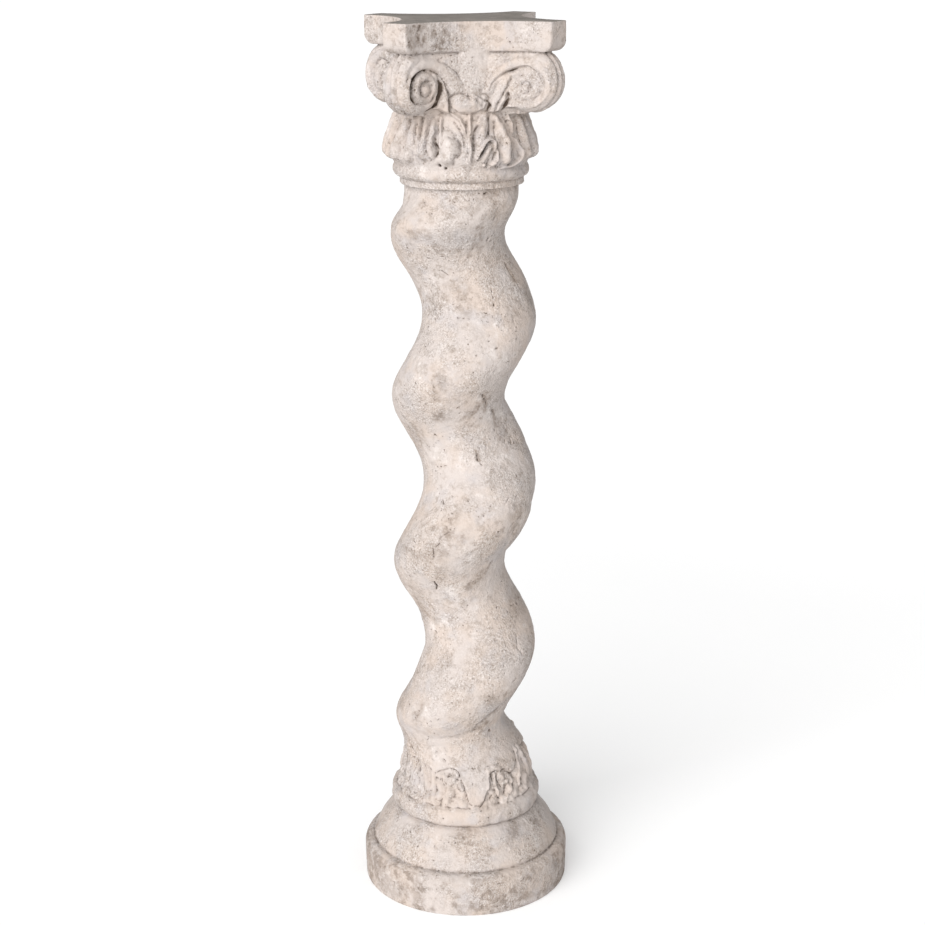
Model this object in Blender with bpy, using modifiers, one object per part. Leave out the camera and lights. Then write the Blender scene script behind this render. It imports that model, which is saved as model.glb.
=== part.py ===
"""A barley twist column in cast stone: a turned plinth, a twisted shaft and a capital with corner volutes.

Metres, +Z up. The origin is at the centre of the underside, on the column's axis, and the front is
towards -Y. The three castings stand on each other.
"""

import math

import bmesh
import bpy
from mathutils import Matrix, Vector

# Joint between two castings, which stand on each other on a thin bed of filler
JOINT_GAP = 0.0003

# Plinth: a round drum with a stepped disc on it
PLINTH_HEIGHT = 0.1130
DRUM_HEIGHT = 0.0595
DRUM_RADIUS = 0.1475
DRUM_FOOT_INSET = 0.0014
DRUM_SHOULDER = 0.0135
DISC_RADIUS = 0.1335
DISC_SIDE_HEIGHT = 0.0050
DISC_GROOVE = 0.0030
DISC_BULGE = 0.0017
DISC_SHOULDER_DROP = 0.0110
DISC_SHOULDER_WIDTH = 0.0090
SEAT_RADIUS = 0.1010

# Shaft: the roll at its foot, the band of leaves over it, and the twist
SHAFT_HEIGHT = 0.8946
TORUS_RADIUS = 0.1062
TORUS_HEIGHT = 0.0260
TORUS_FOOT_INSET = 0.0055
TORUS_ARC = (math.radians(66), math.radians(-75))
SHEATH_HEIGHT = 0.0640
SHEATH_FLARE = 0.0095
SHEATH_RELIEF = 0.0075
TWIST_RADIUS = 0.0772
TWIST_THROW = 0.0216
TWIST_PITCH = 0.2388
TWIST_MIDDLE_TURN = math.radians(-56.2)
TWIST_TIGHTENING = math.radians(29.1)
TWIST_UNEVENNESS = math.radians(6.0)
FOOT_RADIUS = 0.0880
FOOT_RISE = 0.0100
FOOT_FADE = 0.1030
HEAD_RADIUS = 0.0745
HEAD_FADE = 0.0560

# Capital: the ring at its foot, the bell with its leaves, the volutes and the abacus
CAPITAL_TURN = math.radians(9.86)
CAPITAL_HEIGHT = 0.2118
FILLET_HEIGHT = 0.0090
FILLET_RADIUS = 0.0825
RING_QUIRK = 0.0010
ASTRAGAL_HEIGHT = 0.0190
ASTRAGAL_RADIUS = 0.0905
ASTRAGAL_ARC = (math.radians(80), math.radians(-80))
BELL_RADIUS = 0.0845
BELL_FOOT_RADIUS = 0.0828
BELL_NECK_RADIUS = 0.0760
ABACUS_THICKNESS = 0.0380
ABACUS_BOTTOM_ROUND = 0.0120
HORN_REACH = 0.1482
HORN_WIDTH = 0.0378
ABACUS_SIDE_SAG = 0.0366
BLOCK_INSET = 0.0020
BLOCK_FOOT_DROP = 0.0165
BLOCK_ROOT_DROP = 0.0070
LEAF_COUNT = 8
LEAF_LENGTH = 0.0700
LEAF_WIDTH = 0.0600
LEAF_THROW = 0.0185
LEAF_ROOT_DEPTH = 0.0060
VOLUTE_DROP = 0.0830
VOLUTE_RADIUS = 0.0372
VOLUTE_TOP_RADIUS = 0.0485
VOLUTE_SHOULDER_RADIUS = 0.0412
VOLUTE_BOTTOM_RADIUS = 0.0274
VOLUTE_INNER_RADIUS = 0.0215
VOLUTE_TURN_RADIUS = 0.0183
VOLUTE_EYE_RADIUS = 0.0062
VOLUTE_FACE_INSET = 0.0010
VOLUTE_ROLLS = 3
RIBBON_TURNS = 1.5
ROLL_DEPTH = 0.0030
RIBBON_HEIGHT = 0.0040
RIBBON_ROOT_DEPTH = 0.0040
STALK_WIDTH = 0.0190
KNOB_WIDTH = 0.0440
KNOB_HEIGHT = 0.0230
KNOB_THROW = 0.0130
KNOB_OUT = 0.0020

# The hollow-sided block between the volutes, as shares of a side's half length
BLOCK_HEAD_SPAN = 0.80
BLOCK_FOOT_SPAN = 0.72

# Shares along a leaf of the sheath, from its foot up: how far it swells, and half its width
SHEATH_SWELL = ((0.0, 0.0), (0.2, 0.8), (0.6, 1.0), (1.0, 0.0))
SHEATH_HALF_WIDTH = ((0.0, 0.42), (0.35, 0.40), (0.75, 0.30), (1.0, 0.12))
SHEATH_EDGE = 0.12

# Shares along a hanging leaf, from its root down: its throw and its width, with small lobes at its sides
LEAF_SWELL = ((0.0, 0.15), (0.35, 0.4), (0.75, 1.0), (0.92, 0.85), (1.0, 0.4))
LEAF_SPREAD = ((0.0, 0.35), (0.25, 0.75), (0.6, 1.0), (0.85, 0.85), (1.0, 0.5))
LEAF_FRONT = ((-1, -0.1), (-0.6, 0.8), (0, 1.0), (0.6, 0.8), (1, -0.1))
LEAF_BACK_WIDTH = 0.9
LEAF_LOBES = 3
LEAF_LOBE_DEPTH = 0.10

# Edge of a volute by turns from straight up, over its outer side, down, inwards and on to the eye
SPIRAL = (
    (0.0, VOLUTE_TOP_RADIUS),
    (0.125, VOLUTE_SHOULDER_RADIUS),
    (0.25, VOLUTE_RADIUS),
    (0.5, VOLUTE_BOTTOM_RADIUS),
    (0.75, VOLUTE_INNER_RADIUS),
    (1.0, VOLUTE_TURN_RADIUS),
    (1.6, VOLUTE_EYE_RADIUS),
)
SPIRAL_OPENS = 0.75

# Roots of a ribbon on the block: place along the side, height from the eye, share of the stalk's width
RIBBON_ROOTS = ((0.008, -0.0205, 0.90), (0.017, -0.0020, 1.00), (0.034, 0.0200, 0.95))
RIBBON_START = -0.06
RIBBON_NECK = 0.75
RIBBON_TIP = 1.6
RIBBON_TAPER = 1.4
RIBBON_EDGE = 0.36

# Fineness of the faceted solids
PLINTH_SIDES = 36
TWIST_SIDES = 32
TWIST_ROW = 0.0265
FOOT_SIDES = 2 * TWIST_SIDES
BELL_SIDES = 28
ROUND_STEPS = 3
ARC_STEPS = 6
VOLUTE_STEPS = 14
RIBBON_STEPS = 12
LEAF_ROWS = 6
SHEATH_ROWS = 5
KNOB_SIDES = 6
SHARP_EDGE = math.radians(35)
MERGE_DISTANCE = 0.00001

STONE_COLOUR = (0.62, 0.55, 0.48, 1.0)
STONE_ROUGHNESS = 0.9

# Heights of the joints
SHAFT_FOOT = PLINTH_HEIGHT + JOINT_GAP
SHAFT_HEAD = SHAFT_FOOT + SHAFT_HEIGHT
CAPITAL_FOOT = SHAFT_HEAD + JOINT_GAP
COLUMN_TOP = CAPITAL_FOOT + CAPITAL_HEIGHT
SHEATH_FOOT = SHAFT_FOOT + TORUS_HEIGHT

# Plan of one side of the abacus: an arc between two horn corners, hollowed by the sag
HORN_CORNER = Vector(
    (
        (HORN_REACH - HORN_WIDTH / 2) / math.sqrt(2),
        (HORN_REACH + HORN_WIDTH / 2) / math.sqrt(2),
    )
)
SIDE_ARC_RADIUS = (HORN_CORNER.x**2 + ABACUS_SIDE_SAG**2) / (2 * ABACUS_SIDE_SAG)
SIDE_ARC_ANGLE = math.asin(HORN_CORNER.x / SIDE_ARC_RADIUS)
SIDE_MIDDLE = HORN_CORNER.y - ABACUS_SIDE_SAG
VOLUTE_Z = COLUMN_TOP - VOLUTE_DROP
VOLUTE_S = SIDE_ARC_RADIUS * SIDE_ARC_ANGLE - VOLUTE_RADIUS
ABACUS_FOOT = COLUMN_TOP - ABACUS_THICKNESS
LEAF_FOOT = CAPITAL_FOOT + FILLET_HEIGHT + ASTRAGAL_HEIGHT
LEAF_ROOT = LEAF_FOOT + LEAF_LENGTH


def empty_scene():
    for obj in list(bpy.data.objects):
        bpy.data.objects.remove(obj, do_unlink=True)


def collection(name, hidden=False):
    group = bpy.data.collections.new(name)
    bpy.context.scene.collection.children.link(group)
    group.hide_render = hidden
    return group


def stone(name, colour):
    material = bpy.data.materials.new(name)
    material.use_nodes = True
    shader = material.node_tree.nodes["Principled BSDF"]
    shader.inputs["Base Color"].default_value = colour
    shader.inputs["Roughness"].default_value = STONE_ROUGHNESS
    shader.inputs["Metallic"].default_value = 0.0
    material.diffuse_color = colour
    return material


def mesh_object(name, bm, group):
    bmesh.ops.recalc_face_normals(bm, faces=bm.faces)
    mesh = bpy.data.meshes.new(name)
    bm.to_mesh(mesh)
    bm.free()
    mesh.shade_smooth()
    mesh.set_sharp_from_angle(angle=SHARP_EDGE)
    obj = bpy.data.objects.new(name, mesh)
    group.objects.link(obj)
    return obj


def as_guide(obj):
    """A form that is joined into a piece, and isn't a piece of its own."""
    obj.hide_render = True
    obj.display_type = "WIRE"
    return obj


def arc(centre, radii, span):
    """Points (r, z) on a round or oval stretch of a turned profile. The span runs from +r towards +z."""
    points = []
    for k in range(ROUND_STEPS + 1):
        angle = mix(span[0], span[1], k / ROUND_STEPS)
        points.append((centre[0] + radii[0] * math.cos(angle), centre[1] + radii[1] * math.sin(angle)))
    return points


def turned(name, profile, sides, group):
    """A turned body. The profile runs down its outer side, from the axis at the top to the axis below."""
    bm = bmesh.new()
    points = [bm.verts.new((r, 0.0, z)) for r, z in profile]
    for upper, lower in zip(points, points[1:]):
        bm.edges.new((upper, lower))
    mesh = bpy.data.meshes.new(name)
    bm.to_mesh(mesh)
    bm.free()
    obj = bpy.data.objects.new(name, mesh)
    group.objects.link(obj)
    screw = obj.modifiers.new("Turn", "SCREW")
    screw.steps = sides
    screw.render_steps = sides
    screw.use_merge_vertices = True
    screw.merge_threshold = MERGE_DISTANCE
    screw.use_smooth_shade = True
    return obj


def loft(name, rings, group):
    """A closed body through rings of points. A ring may have twice the points of the one before it."""
    bm = bmesh.new()
    rows = [[bm.verts.new(point) for point in ring] for ring in rings]
    for upper, lower in zip(rows, rows[1:]):
        count = len(upper)
        doubled = len(lower) == 2 * count
        for k in range(count):
            after = (k + 1) % count
            if doubled:
                low, middle, high = lower[2 * k], lower[2 * k + 1], lower[(2 * k + 2) % len(lower)]
                bm.faces.new((upper[k], low, middle))
                bm.faces.new((upper[k], middle, upper[after]))
                bm.faces.new((upper[after], middle, high))
            else:
                bm.faces.new((upper[k], lower[k], lower[after], upper[after]))
    for ring in (rows[0], rows[-1]):
        centre = bm.verts.new(sum((vert.co for vert in ring), Vector()) / len(ring))
        for k, vert in enumerate(ring):
            bm.faces.new((vert, ring[(k + 1) % len(ring)], centre))
    return mesh_object(name, bm, group)


def join(obj, forms):
    """Joins every form in the collection to the object, as one solid."""
    union = obj.modifiers.new("Join", "BOOLEAN")
    union.operation = "UNION"
    union.solver = "EXACT"
    union.operand_type = "COLLECTION"
    union.collection = forms


def smooth_step(x):
    x = min(max(x, 0.0), 1.0)
    return x * x * (3 - 2 * x)


def mix(a, b, share):
    return a + (b - a) * share


def through(points, x):
    """The value at x on a smooth line through a few (x, value) points."""
    if x <= points[0][0]:
        return points[0][1]
    for (x0, v0), (x1, v1) in zip(points, points[1:]):
        if x <= x1:
            return mix(v0, v1, smooth_step((x - x0) / (x1 - x0)))
    return points[-1][1]


# The plinth


def plinth_profile():
    shoulder = (SEAT_RADIUS + DISC_SHOULDER_WIDTH, PLINTH_HEIGHT - DISC_SHOULDER_DROP)
    side = (DISC_RADIUS, DRUM_HEIGHT + DISC_SIDE_HEIGHT)
    between = (mix(shoulder[0], side[0], 0.5) + DISC_BULGE, mix(shoulder[1], side[1], 0.5) + DISC_BULGE)
    drum_edge = arc(
        (DRUM_RADIUS - DRUM_SHOULDER, DRUM_HEIGHT - DRUM_SHOULDER),
        (DRUM_SHOULDER, DRUM_SHOULDER),
        (math.radians(90), 0.0),
    )
    return (
        [(0.0, PLINTH_HEIGHT), (SEAT_RADIUS, PLINTH_HEIGHT), shoulder, between, side]
        + [(DISC_RADIUS, DRUM_HEIGHT + DISC_GROOVE), (DISC_RADIUS - DISC_GROOVE, DRUM_HEIGHT)]
        + drum_edge
        + [(DRUM_RADIUS - DRUM_FOOT_INSET, 0.0), (0.0, 0.0)]
    )


def make_plinth(group):
    return turned("plinth", plinth_profile(), PLINTH_SIDES, group)


# The twisted shaft


def twist_angle(z):
    """The direction in which the twist leans out at a height. It turns to the left on the way up."""
    half = SHAFT_HEIGHT / 2
    off_middle = z - (SHAFT_FOOT + half)
    share = off_middle / half
    drift = TWIST_TIGHTENING * share**3 + TWIST_UNEVENNESS * share**2
    return 2 * math.pi * off_middle / TWIST_PITCH + TWIST_MIDDLE_TURN + drift


def rise(z):
    """How far the twist has grown out of its round foot, from 0 to 1."""
    return smooth_step((z - SHEATH_FOOT - FOOT_RISE) / FOOT_FADE)


def fall(z):
    """How much of the twist is left under the capital, from 1 to 0."""
    return smooth_step((SHAFT_HEAD - z) / HEAD_FADE)


def twist_centre(z):
    throw = TWIST_THROW * rise(z) * fall(z)
    angle = twist_angle(z)
    return Vector((throw * math.cos(angle), throw * math.sin(angle), z))


def twist_radius(z):
    """The radius of the round section, which narrows under the capital and flares to the torus."""
    radius = mix(FOOT_RADIUS, mix(HEAD_RADIUS, TWIST_RADIUS, fall(z)), rise(z))
    share = min((z - SHEATH_FOOT) / SHEATH_HEIGHT, 1.0)
    return radius + SHEATH_FLARE * (1 - share) ** 2


def ring(centre, radius, sides, relief=None):
    points = []
    for k in range(sides):
        angle = 2 * math.pi * k / sides
        reach = radius + (relief(angle) if relief else 0.0)
        points.append(centre + Vector((reach * math.cos(angle), reach * math.sin(angle), 0.0)))
    return points


def sheath_relief(z):
    """The leaves round the foot, as swellings on the flared surface that they grow from."""
    share = (z - SHEATH_FOOT) / SHEATH_HEIGHT
    height = SHEATH_RELIEF * through(SHEATH_SWELL, share)
    width = through(SHEATH_HALF_WIDTH, share)

    def relief(angle):
        turn = (angle - CAPITAL_TURN) * LEAF_COUNT / (2 * math.pi)
        aside = abs(turn - math.floor(turn) - 0.5)
        return height * smooth_step((width - aside) / SHEATH_EDGE + 0.5)

    return relief


def make_shaft(group):
    rings = []
    sheath_top = SHEATH_FOOT + SHEATH_HEIGHT
    rows = round((SHAFT_HEAD - sheath_top) / TWIST_ROW)
    for k in range(rows + 1):
        z = SHAFT_HEAD - (SHAFT_HEAD - sheath_top) * k / rows
        rings.append(ring(twist_centre(z), twist_radius(z), TWIST_SIDES))
    for k in range(1, SHEATH_ROWS):
        z = sheath_top - SHEATH_HEIGHT * k / SHEATH_ROWS
        rings.append(ring(twist_centre(z), twist_radius(z), FOOT_SIDES, sheath_relief(z)))
    half = TORUS_HEIGHT / 2
    for radius, z in arc((TORUS_RADIUS - half, SHAFT_FOOT + half), (half, half), TORUS_ARC):
        rings.append(ring(Vector((0.0, 0.0, z)), radius, FOOT_SIDES))
    foot = Vector((0.0, 0.0, SHAFT_FOOT))
    rings.append(ring(foot, TORUS_RADIUS - TORUS_FOOT_INSET, FOOT_SIDES))
    return loft("twisted_shaft", rings, group)


# The capital, built square to the axes and then turned with CAPITAL_TURN


def side_point(s, z, out=0.0):
    """A point on the hollow front side: s along it from its middle, z its height, out in front of it."""
    angle = s / SIDE_ARC_RADIUS
    reach = SIDE_ARC_RADIUS - out
    return Vector((reach * math.sin(angle), -(SIDE_MIDDLE + SIDE_ARC_RADIUS - reach * math.cos(angle)), z))


def quarters():
    """The four sides, as the turn that takes the front side to each."""
    return [Matrix.Rotation(math.radians(90) * quarter, 3, "Z") for quarter in range(4)]


def hollow_square(reach, inset=0.0):
    """The plan of the abacus, or of the block under it: four hollow sides, each cut off at this share."""
    span = SIDE_ARC_RADIUS * SIDE_ARC_ANGLE * reach
    front = [side_point(mix(-span, span, k / ARC_STEPS), 0.0, -inset) for k in range(ARC_STEPS + 1)]
    return [turn @ point for turn in quarters() for point in front]


def make_abacus(group):
    plan = hollow_square(1.0)
    rings = [[point + Vector((0.0, 0.0, COLUMN_TOP)) for point in plan]]
    for k in range(ROUND_STEPS + 1):
        angle = math.radians(90) * k / ROUND_STEPS
        inset = ABACUS_BOTTOM_ROUND * (1 - math.cos(angle))
        z = ABACUS_FOOT + ABACUS_BOTTOM_ROUND * (1 - math.sin(angle))
        scale = (HORN_REACH - inset) / HORN_REACH
        rings.append([Vector((point.x * scale, point.y * scale, z)) for point in plan])
    return loft("abacus", rings, group)


def make_block(group):
    """The hollow-sided block under the abacus, which carries the volutes and narrows to the bell."""
    head_z = ABACUS_FOOT + ABACUS_BOTTOM_ROUND
    foot_z = VOLUTE_Z - BLOCK_FOOT_DROP
    head = [point + Vector((0.0, 0.0, head_z)) for point in hollow_square(BLOCK_HEAD_SPAN, BLOCK_INSET)]
    foot = [point + Vector((0.0, 0.0, foot_z)) for point in hollow_square(BLOCK_FOOT_SPAN, BLOCK_INSET)]
    root = []
    for point in foot:
        flat = Vector((point.x, point.y, 0.0)).normalized() * BELL_NECK_RADIUS
        root.append(Vector((flat.x, flat.y, LEAF_ROOT - BLOCK_ROOT_DROP)))
    return loft("block", [head, foot, root], group)


def core_profile():
    fillet_top = CAPITAL_FOOT + FILLET_HEIGHT
    astragal = arc(
        (FILLET_RADIUS, fillet_top + ASTRAGAL_HEIGHT / 2),
        (ASTRAGAL_RADIUS - FILLET_RADIUS, ASTRAGAL_HEIGHT / 2),
        ASTRAGAL_ARC,
    )
    return (
        [(0.0, ABACUS_FOOT), (BELL_NECK_RADIUS, ABACUS_FOOT), (BELL_RADIUS, LEAF_ROOT)]
        + [(BELL_FOOT_RADIUS, LEAF_FOOT)]
        + astragal
        + [(FILLET_RADIUS, fillet_top - RING_QUIRK), (FILLET_RADIUS, CAPITAL_FOOT), (0.0, CAPITAL_FOOT)]
    )


def leaf_section(share, turn):
    """One cross-section of a hanging leaf: its front in small steps, then its back inside the bell."""
    z = LEAF_ROOT - LEAF_LENGTH * share
    throw = LEAF_THROW * through(LEAF_SWELL, share)
    lobe = 1 + LEAF_LOBE_DEPTH * math.cos(2 * math.pi * LEAF_LOBES * share)
    half = LEAF_WIDTH / 2 * through(LEAF_SPREAD, share) * lobe
    outline = [(across, BELL_RADIUS + throw * height) for across, height in LEAF_FRONT]
    outline += [(across * LEAF_BACK_WIDTH, BELL_RADIUS - LEAF_ROOT_DEPTH) for across in (1, -1)]
    section = []
    for across, reach in outline:
        angle = turn + across * half / BELL_RADIUS
        section.append(Vector((reach * math.cos(angle), reach * math.sin(angle), z)))
    return section


def make_leaves(group):
    for k in range(LEAF_COUNT):
        turn = 2 * math.pi * (k + 0.5) / LEAF_COUNT
        sections = [leaf_section(row / LEAF_ROWS, turn) for row in range(LEAF_ROWS + 1)]
        as_guide(loft(f"leaf_{k + 1}", sections, group))


def spiral_radius(turns):
    """How far the edge of a volute is from its eye, after this many turns from straight up."""
    for (t0, r0), (t1, r1) in zip(SPIRAL, SPIRAL[1:]):
        if turns <= t1:
            return mix(r0, r1, (turns - t0) / (t1 - t0))
    return SPIRAL[-1][1]


def volute_outline(shrink):
    """Points (s, z) round the edge of a volute, on the right-hand end of the front side."""
    points = []
    for k in range(VOLUTE_STEPS):
        share = k / VOLUTE_STEPS
        if share <= SPIRAL_OPENS:
            radius = spiral_radius(share)
        else:
            opening = smooth_step((share - SPIRAL_OPENS) / (1 - SPIRAL_OPENS))
            radius = mix(VOLUTE_INNER_RADIUS, VOLUTE_TOP_RADIUS, opening)
        radius -= shrink
        angle = 2 * math.pi * share
        points.append((VOLUTE_S + radius * math.sin(angle), VOLUTE_Z + radius * math.cos(angle)))
    return points


def across_corner(point):
    """The same point on the neighbouring side, mirrored in the diagonal through the right-hand horn."""
    return Vector((-point.y, -point.x, point.z))


def make_volutes(group):
    """The four corner blocks, each between two scrolled faces, with three rolls down its outer edge."""
    steps = 2 * VOLUTE_ROLLS
    for quarter, turn in enumerate(quarters()):
        rings = []
        for step in range(steps + 1):
            shrink = ROLL_DEPTH if step % 2 == 0 else 0.0
            share = step / steps
            face = [side_point(s, z, -VOLUTE_FACE_INSET) for s, z in volute_outline(shrink)]
            rings.append([turn @ point.lerp(across_corner(point), share) for point in face])
        as_guide(loft(f"volute_{quarter + 1}", rings, group))


def ribbon_path():
    """Points (s, z, width) along a ribbon, from its root by the knob over the volute and round to the eye."""
    path = [(s, VOLUTE_Z + height, STALK_WIDTH * width) for s, height, width in RIBBON_ROOTS]
    for k in range(RIBBON_STEPS + 1):
        share = k / RIBBON_STEPS
        turns = mix(RIBBON_START, RIBBON_TURNS, share)
        taper = smooth_step(share * RIBBON_TAPER)
        width = mix(STALK_WIDTH * RIBBON_NECK, VOLUTE_EYE_RADIUS * RIBBON_TIP, taper)
        radius = max(spiral_radius(max(turns, 0.0)) - width / 2, 0.0)
        angle = 2 * math.pi * turns
        path.append((VOLUTE_S + radius * math.sin(angle), VOLUTE_Z + radius * math.cos(angle), width))
    return path


def ribbon_sections(mirrored):
    path = ribbon_path()
    hand = -1 if mirrored else 1
    outline = (
        (-0.5, -RIBBON_ROOT_DEPTH),
        (-RIBBON_EDGE, RIBBON_HEIGHT),
        (RIBBON_EDGE, RIBBON_HEIGHT),
        (0.5, -RIBBON_ROOT_DEPTH),
    )
    sections = []
    for k, (s, z, width) in enumerate(path):
        before = path[max(k - 1, 0)]
        after = path[min(k + 1, len(path) - 1)]
        along = Vector((after[0] - before[0], after[1] - before[1])).normalized()
        side = Vector((-along.y, along.x)) * width
        section = []
        for across, out in outline:
            section.append(side_point(hand * (s + side.x * across), z + side.y * across, out))
        sections.append(section)
    return sections


def make_ribbons(group):
    for quarter, turn in enumerate(quarters()):
        for hand in ("left", "right"):
            sections = [[turn @ point for point in section] for section in ribbon_sections(hand == "left")]
            as_guide(loft(f"ribbon_{quarter + 1}_{hand}", sections, group))


def ball(name, place, radii, turn, group):
    bm = bmesh.new()
    bmesh.ops.create_uvsphere(bm, u_segments=KNOB_SIDES, v_segments=KNOB_SIDES // 2 + 1, radius=1.0)
    size = Matrix.Diagonal((radii[0], radii[1], radii[2], 1.0))
    matrix = turn.to_4x4() @ Matrix.Translation(place) @ size
    bmesh.ops.transform(bm, matrix=matrix, verts=bm.verts)
    return as_guide(mesh_object(name, bm, group))


def make_knobs(group):
    """The knob between the feet of two stalks, in the middle of each side."""
    place = side_point(0.0, LEAF_ROOT + KNOB_HEIGHT / 2, KNOB_OUT)
    radii = (KNOB_WIDTH / 2, KNOB_THROW, KNOB_HEIGHT / 2)
    for quarter, turn in enumerate(quarters()):
        ball(f"knob_{quarter + 1}", place, radii, turn, group)


def make_capital(group, forms):
    capital = turned("capital", core_profile(), BELL_SIDES, group)
    capital.rotation_euler.z = CAPITAL_TURN
    as_guide(make_abacus(forms))
    as_guide(make_block(forms))
    make_leaves(forms)
    make_volutes(forms)
    make_ribbons(forms)
    make_knobs(forms)
    for form in forms.objects:
        form.rotation_euler.z = CAPITAL_TURN
    join(capital, forms)
    return capital


def main():
    empty_scene()
    column = collection("barley_twist_column")
    forms = collection("capital_forms", hidden=True)
    pieces = (make_plinth(column), make_shaft(column), make_capital(column, forms))
    for piece in pieces:
        piece.data.materials.append(stone(f"{piece.name}_stone", STONE_COLOUR))


main()
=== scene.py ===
"""The looks of the barley twist column: three worn stone castings, each built finely over its solid."""

import math

import bpy
import numpy as np
from mathutils import Euler, Matrix, Vector


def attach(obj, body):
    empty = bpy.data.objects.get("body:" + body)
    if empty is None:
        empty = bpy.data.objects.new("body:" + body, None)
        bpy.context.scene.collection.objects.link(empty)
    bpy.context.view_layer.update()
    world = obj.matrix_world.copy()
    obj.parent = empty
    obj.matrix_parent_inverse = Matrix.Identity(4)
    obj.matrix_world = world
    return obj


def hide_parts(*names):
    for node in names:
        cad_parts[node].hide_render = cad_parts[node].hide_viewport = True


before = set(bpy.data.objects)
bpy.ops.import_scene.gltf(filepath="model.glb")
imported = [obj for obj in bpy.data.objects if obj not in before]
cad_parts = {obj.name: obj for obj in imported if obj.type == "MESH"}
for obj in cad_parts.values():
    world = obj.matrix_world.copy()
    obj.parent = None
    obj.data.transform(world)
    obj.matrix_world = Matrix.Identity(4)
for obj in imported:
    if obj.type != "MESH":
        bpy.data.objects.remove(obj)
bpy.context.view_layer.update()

MM = 0.001

# Sizes of the solids in the frame, in metres
JOINT_GAP = 0.0003
PLINTH_HEIGHT = 0.1130
DRUM_HEIGHT = 0.0595
DRUM_RADIUS = 0.1475
DRUM_FOOT_INSET = 0.0014
DRUM_SHOULDER = 0.0135
DISC_RADIUS = 0.1335
DISC_SIDE_HEIGHT = 0.0050
DISC_BULGE = 0.0017
DISC_SHOULDER_DROP = 0.0110
DISC_SHOULDER_WIDTH = 0.0090
SEAT_RADIUS = 0.1010

SHAFT_HEIGHT = 0.8946
TORUS_HEIGHT = 0.0260
SHEATH_HEIGHT = 0.0640
SHEATH_FLARE = 0.0095
TWIST_RADIUS = 0.0772
TWIST_THROW = 0.0216
TWIST_PITCH = 0.2388
TWIST_MIDDLE_TURN = math.radians(-56.2)
TWIST_TIGHTENING = math.radians(29.1)
TWIST_UNEVENNESS = math.radians(6.0)
FOOT_RADIUS = 0.0880
FOOT_RISE = 0.0100
FOOT_FADE = 0.1030
HEAD_RADIUS = 0.0745
HEAD_FADE = 0.0560

CAPITAL_TURN = math.radians(9.86)
CAPITAL_HEIGHT = 0.2118
FILLET_HEIGHT = 0.0090
FILLET_RADIUS = 0.0825
ASTRAGAL_HEIGHT = 0.0190
ASTRAGAL_RADIUS = 0.0905
BELL_RADIUS = 0.0845
ABACUS_THICKNESS = 0.0380
ABACUS_BOTTOM_ROUND = 0.0120
HORN_REACH = 0.1482
HORN_WIDTH = 0.0378
ABACUS_SIDE_SAG = 0.0366
LEAF_COUNT = 8
LEAF_LENGTH = 0.0700
VOLUTE_DROP = 0.0830
VOLUTE_RADIUS = 0.0372
VOLUTE_ROLLS = 3
KNOB_WIDTH = 0.0440
KNOB_HEIGHT = 0.0230
KNOB_THROW = 0.0130

SHAFT_FOOT = PLINTH_HEIGHT + JOINT_GAP
SHAFT_HEAD = SHAFT_FOOT + SHAFT_HEIGHT
CAPITAL_FOOT = SHAFT_HEAD + JOINT_GAP
COLUMN_TOP = CAPITAL_FOOT + CAPITAL_HEIGHT
SHEATH_FOOT = SHAFT_FOOT + TORUS_HEIGHT
ABACUS_FOOT = COLUMN_TOP - ABACUS_THICKNESS
LEAF_FOOT = CAPITAL_FOOT + FILLET_HEIGHT + ASTRAGAL_HEIGHT
VOLUTE_Z = COLUMN_TOP - VOLUTE_DROP
HORN_CORNER = (
    (HORN_REACH - HORN_WIDTH / 2) / math.sqrt(2),
    (HORN_REACH + HORN_WIDTH / 2) / math.sqrt(2),
)
SIDE_ARC_RADIUS = (HORN_CORNER[0] ** 2 + ABACUS_SIDE_SAG**2) / (2 * ABACUS_SIDE_SAG)
SIDE_ARC_ANGLE = math.asin(HORN_CORNER[0] / SIDE_ARC_RADIUS)
SIDE_MIDDLE = HORN_CORNER[1] - ABACUS_SIDE_SAG
VOLUTE_S = SIDE_ARC_RADIUS * SIDE_ARC_ANGLE - VOLUTE_RADIUS

# Fineness of the meshes: triangles of a piece, points round a turned piece, and steps along it in metres
TRIANGLE_LIMIT = 196000
ROUND_POINTS = 620
ROUND_STEP = 0.0013
BELL_POINTS = 760
CAPITAL_VOXEL = 0.00098

# Wear in millimetres: broad and fine unevenness and the depth of the pits, then how far a piece sinks
PLINTH_WEAR = (0.30, 0.22, 1.0)
PLINTH_SINK = 0.4
SHAFT_WEAR = (0.45, 0.36, 1.3)
CAPITAL_WEAR = (0.30, 0.26, 1.1)
CAPITAL_SINK = 0.25
GRIT = 0.20
# The most that plain dirt covers, from 0 to 1, with the painted shade under the turns on the shaft
PLINTH_DIRT = 0.56
SHAFT_DIRT_AND_SHADE = 0.54


# Curves and noise


def smooth_step(x):
    x = np.clip(x, 0.0, 1.0)
    return x * x * (3 - 2 * x)


def mix(a, b, share):
    return a + (b - a) * share


def through(table, x):
    """The value at x on straight lines through a few (x, value) points."""
    xs, values = zip(*table)
    return np.interp(x, xs, values)


def full_turn(count):
    """Angles all the way round, from 0, at even steps."""
    return np.linspace(0, 2 * math.pi, count, endpoint=False)


def crossed(rows, columns):
    """Every pair of a row and a column, row by row, as two flat lists."""
    return (grid.ravel() for grid in np.meshgrid(rows, columns, indexing="ij"))


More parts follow.
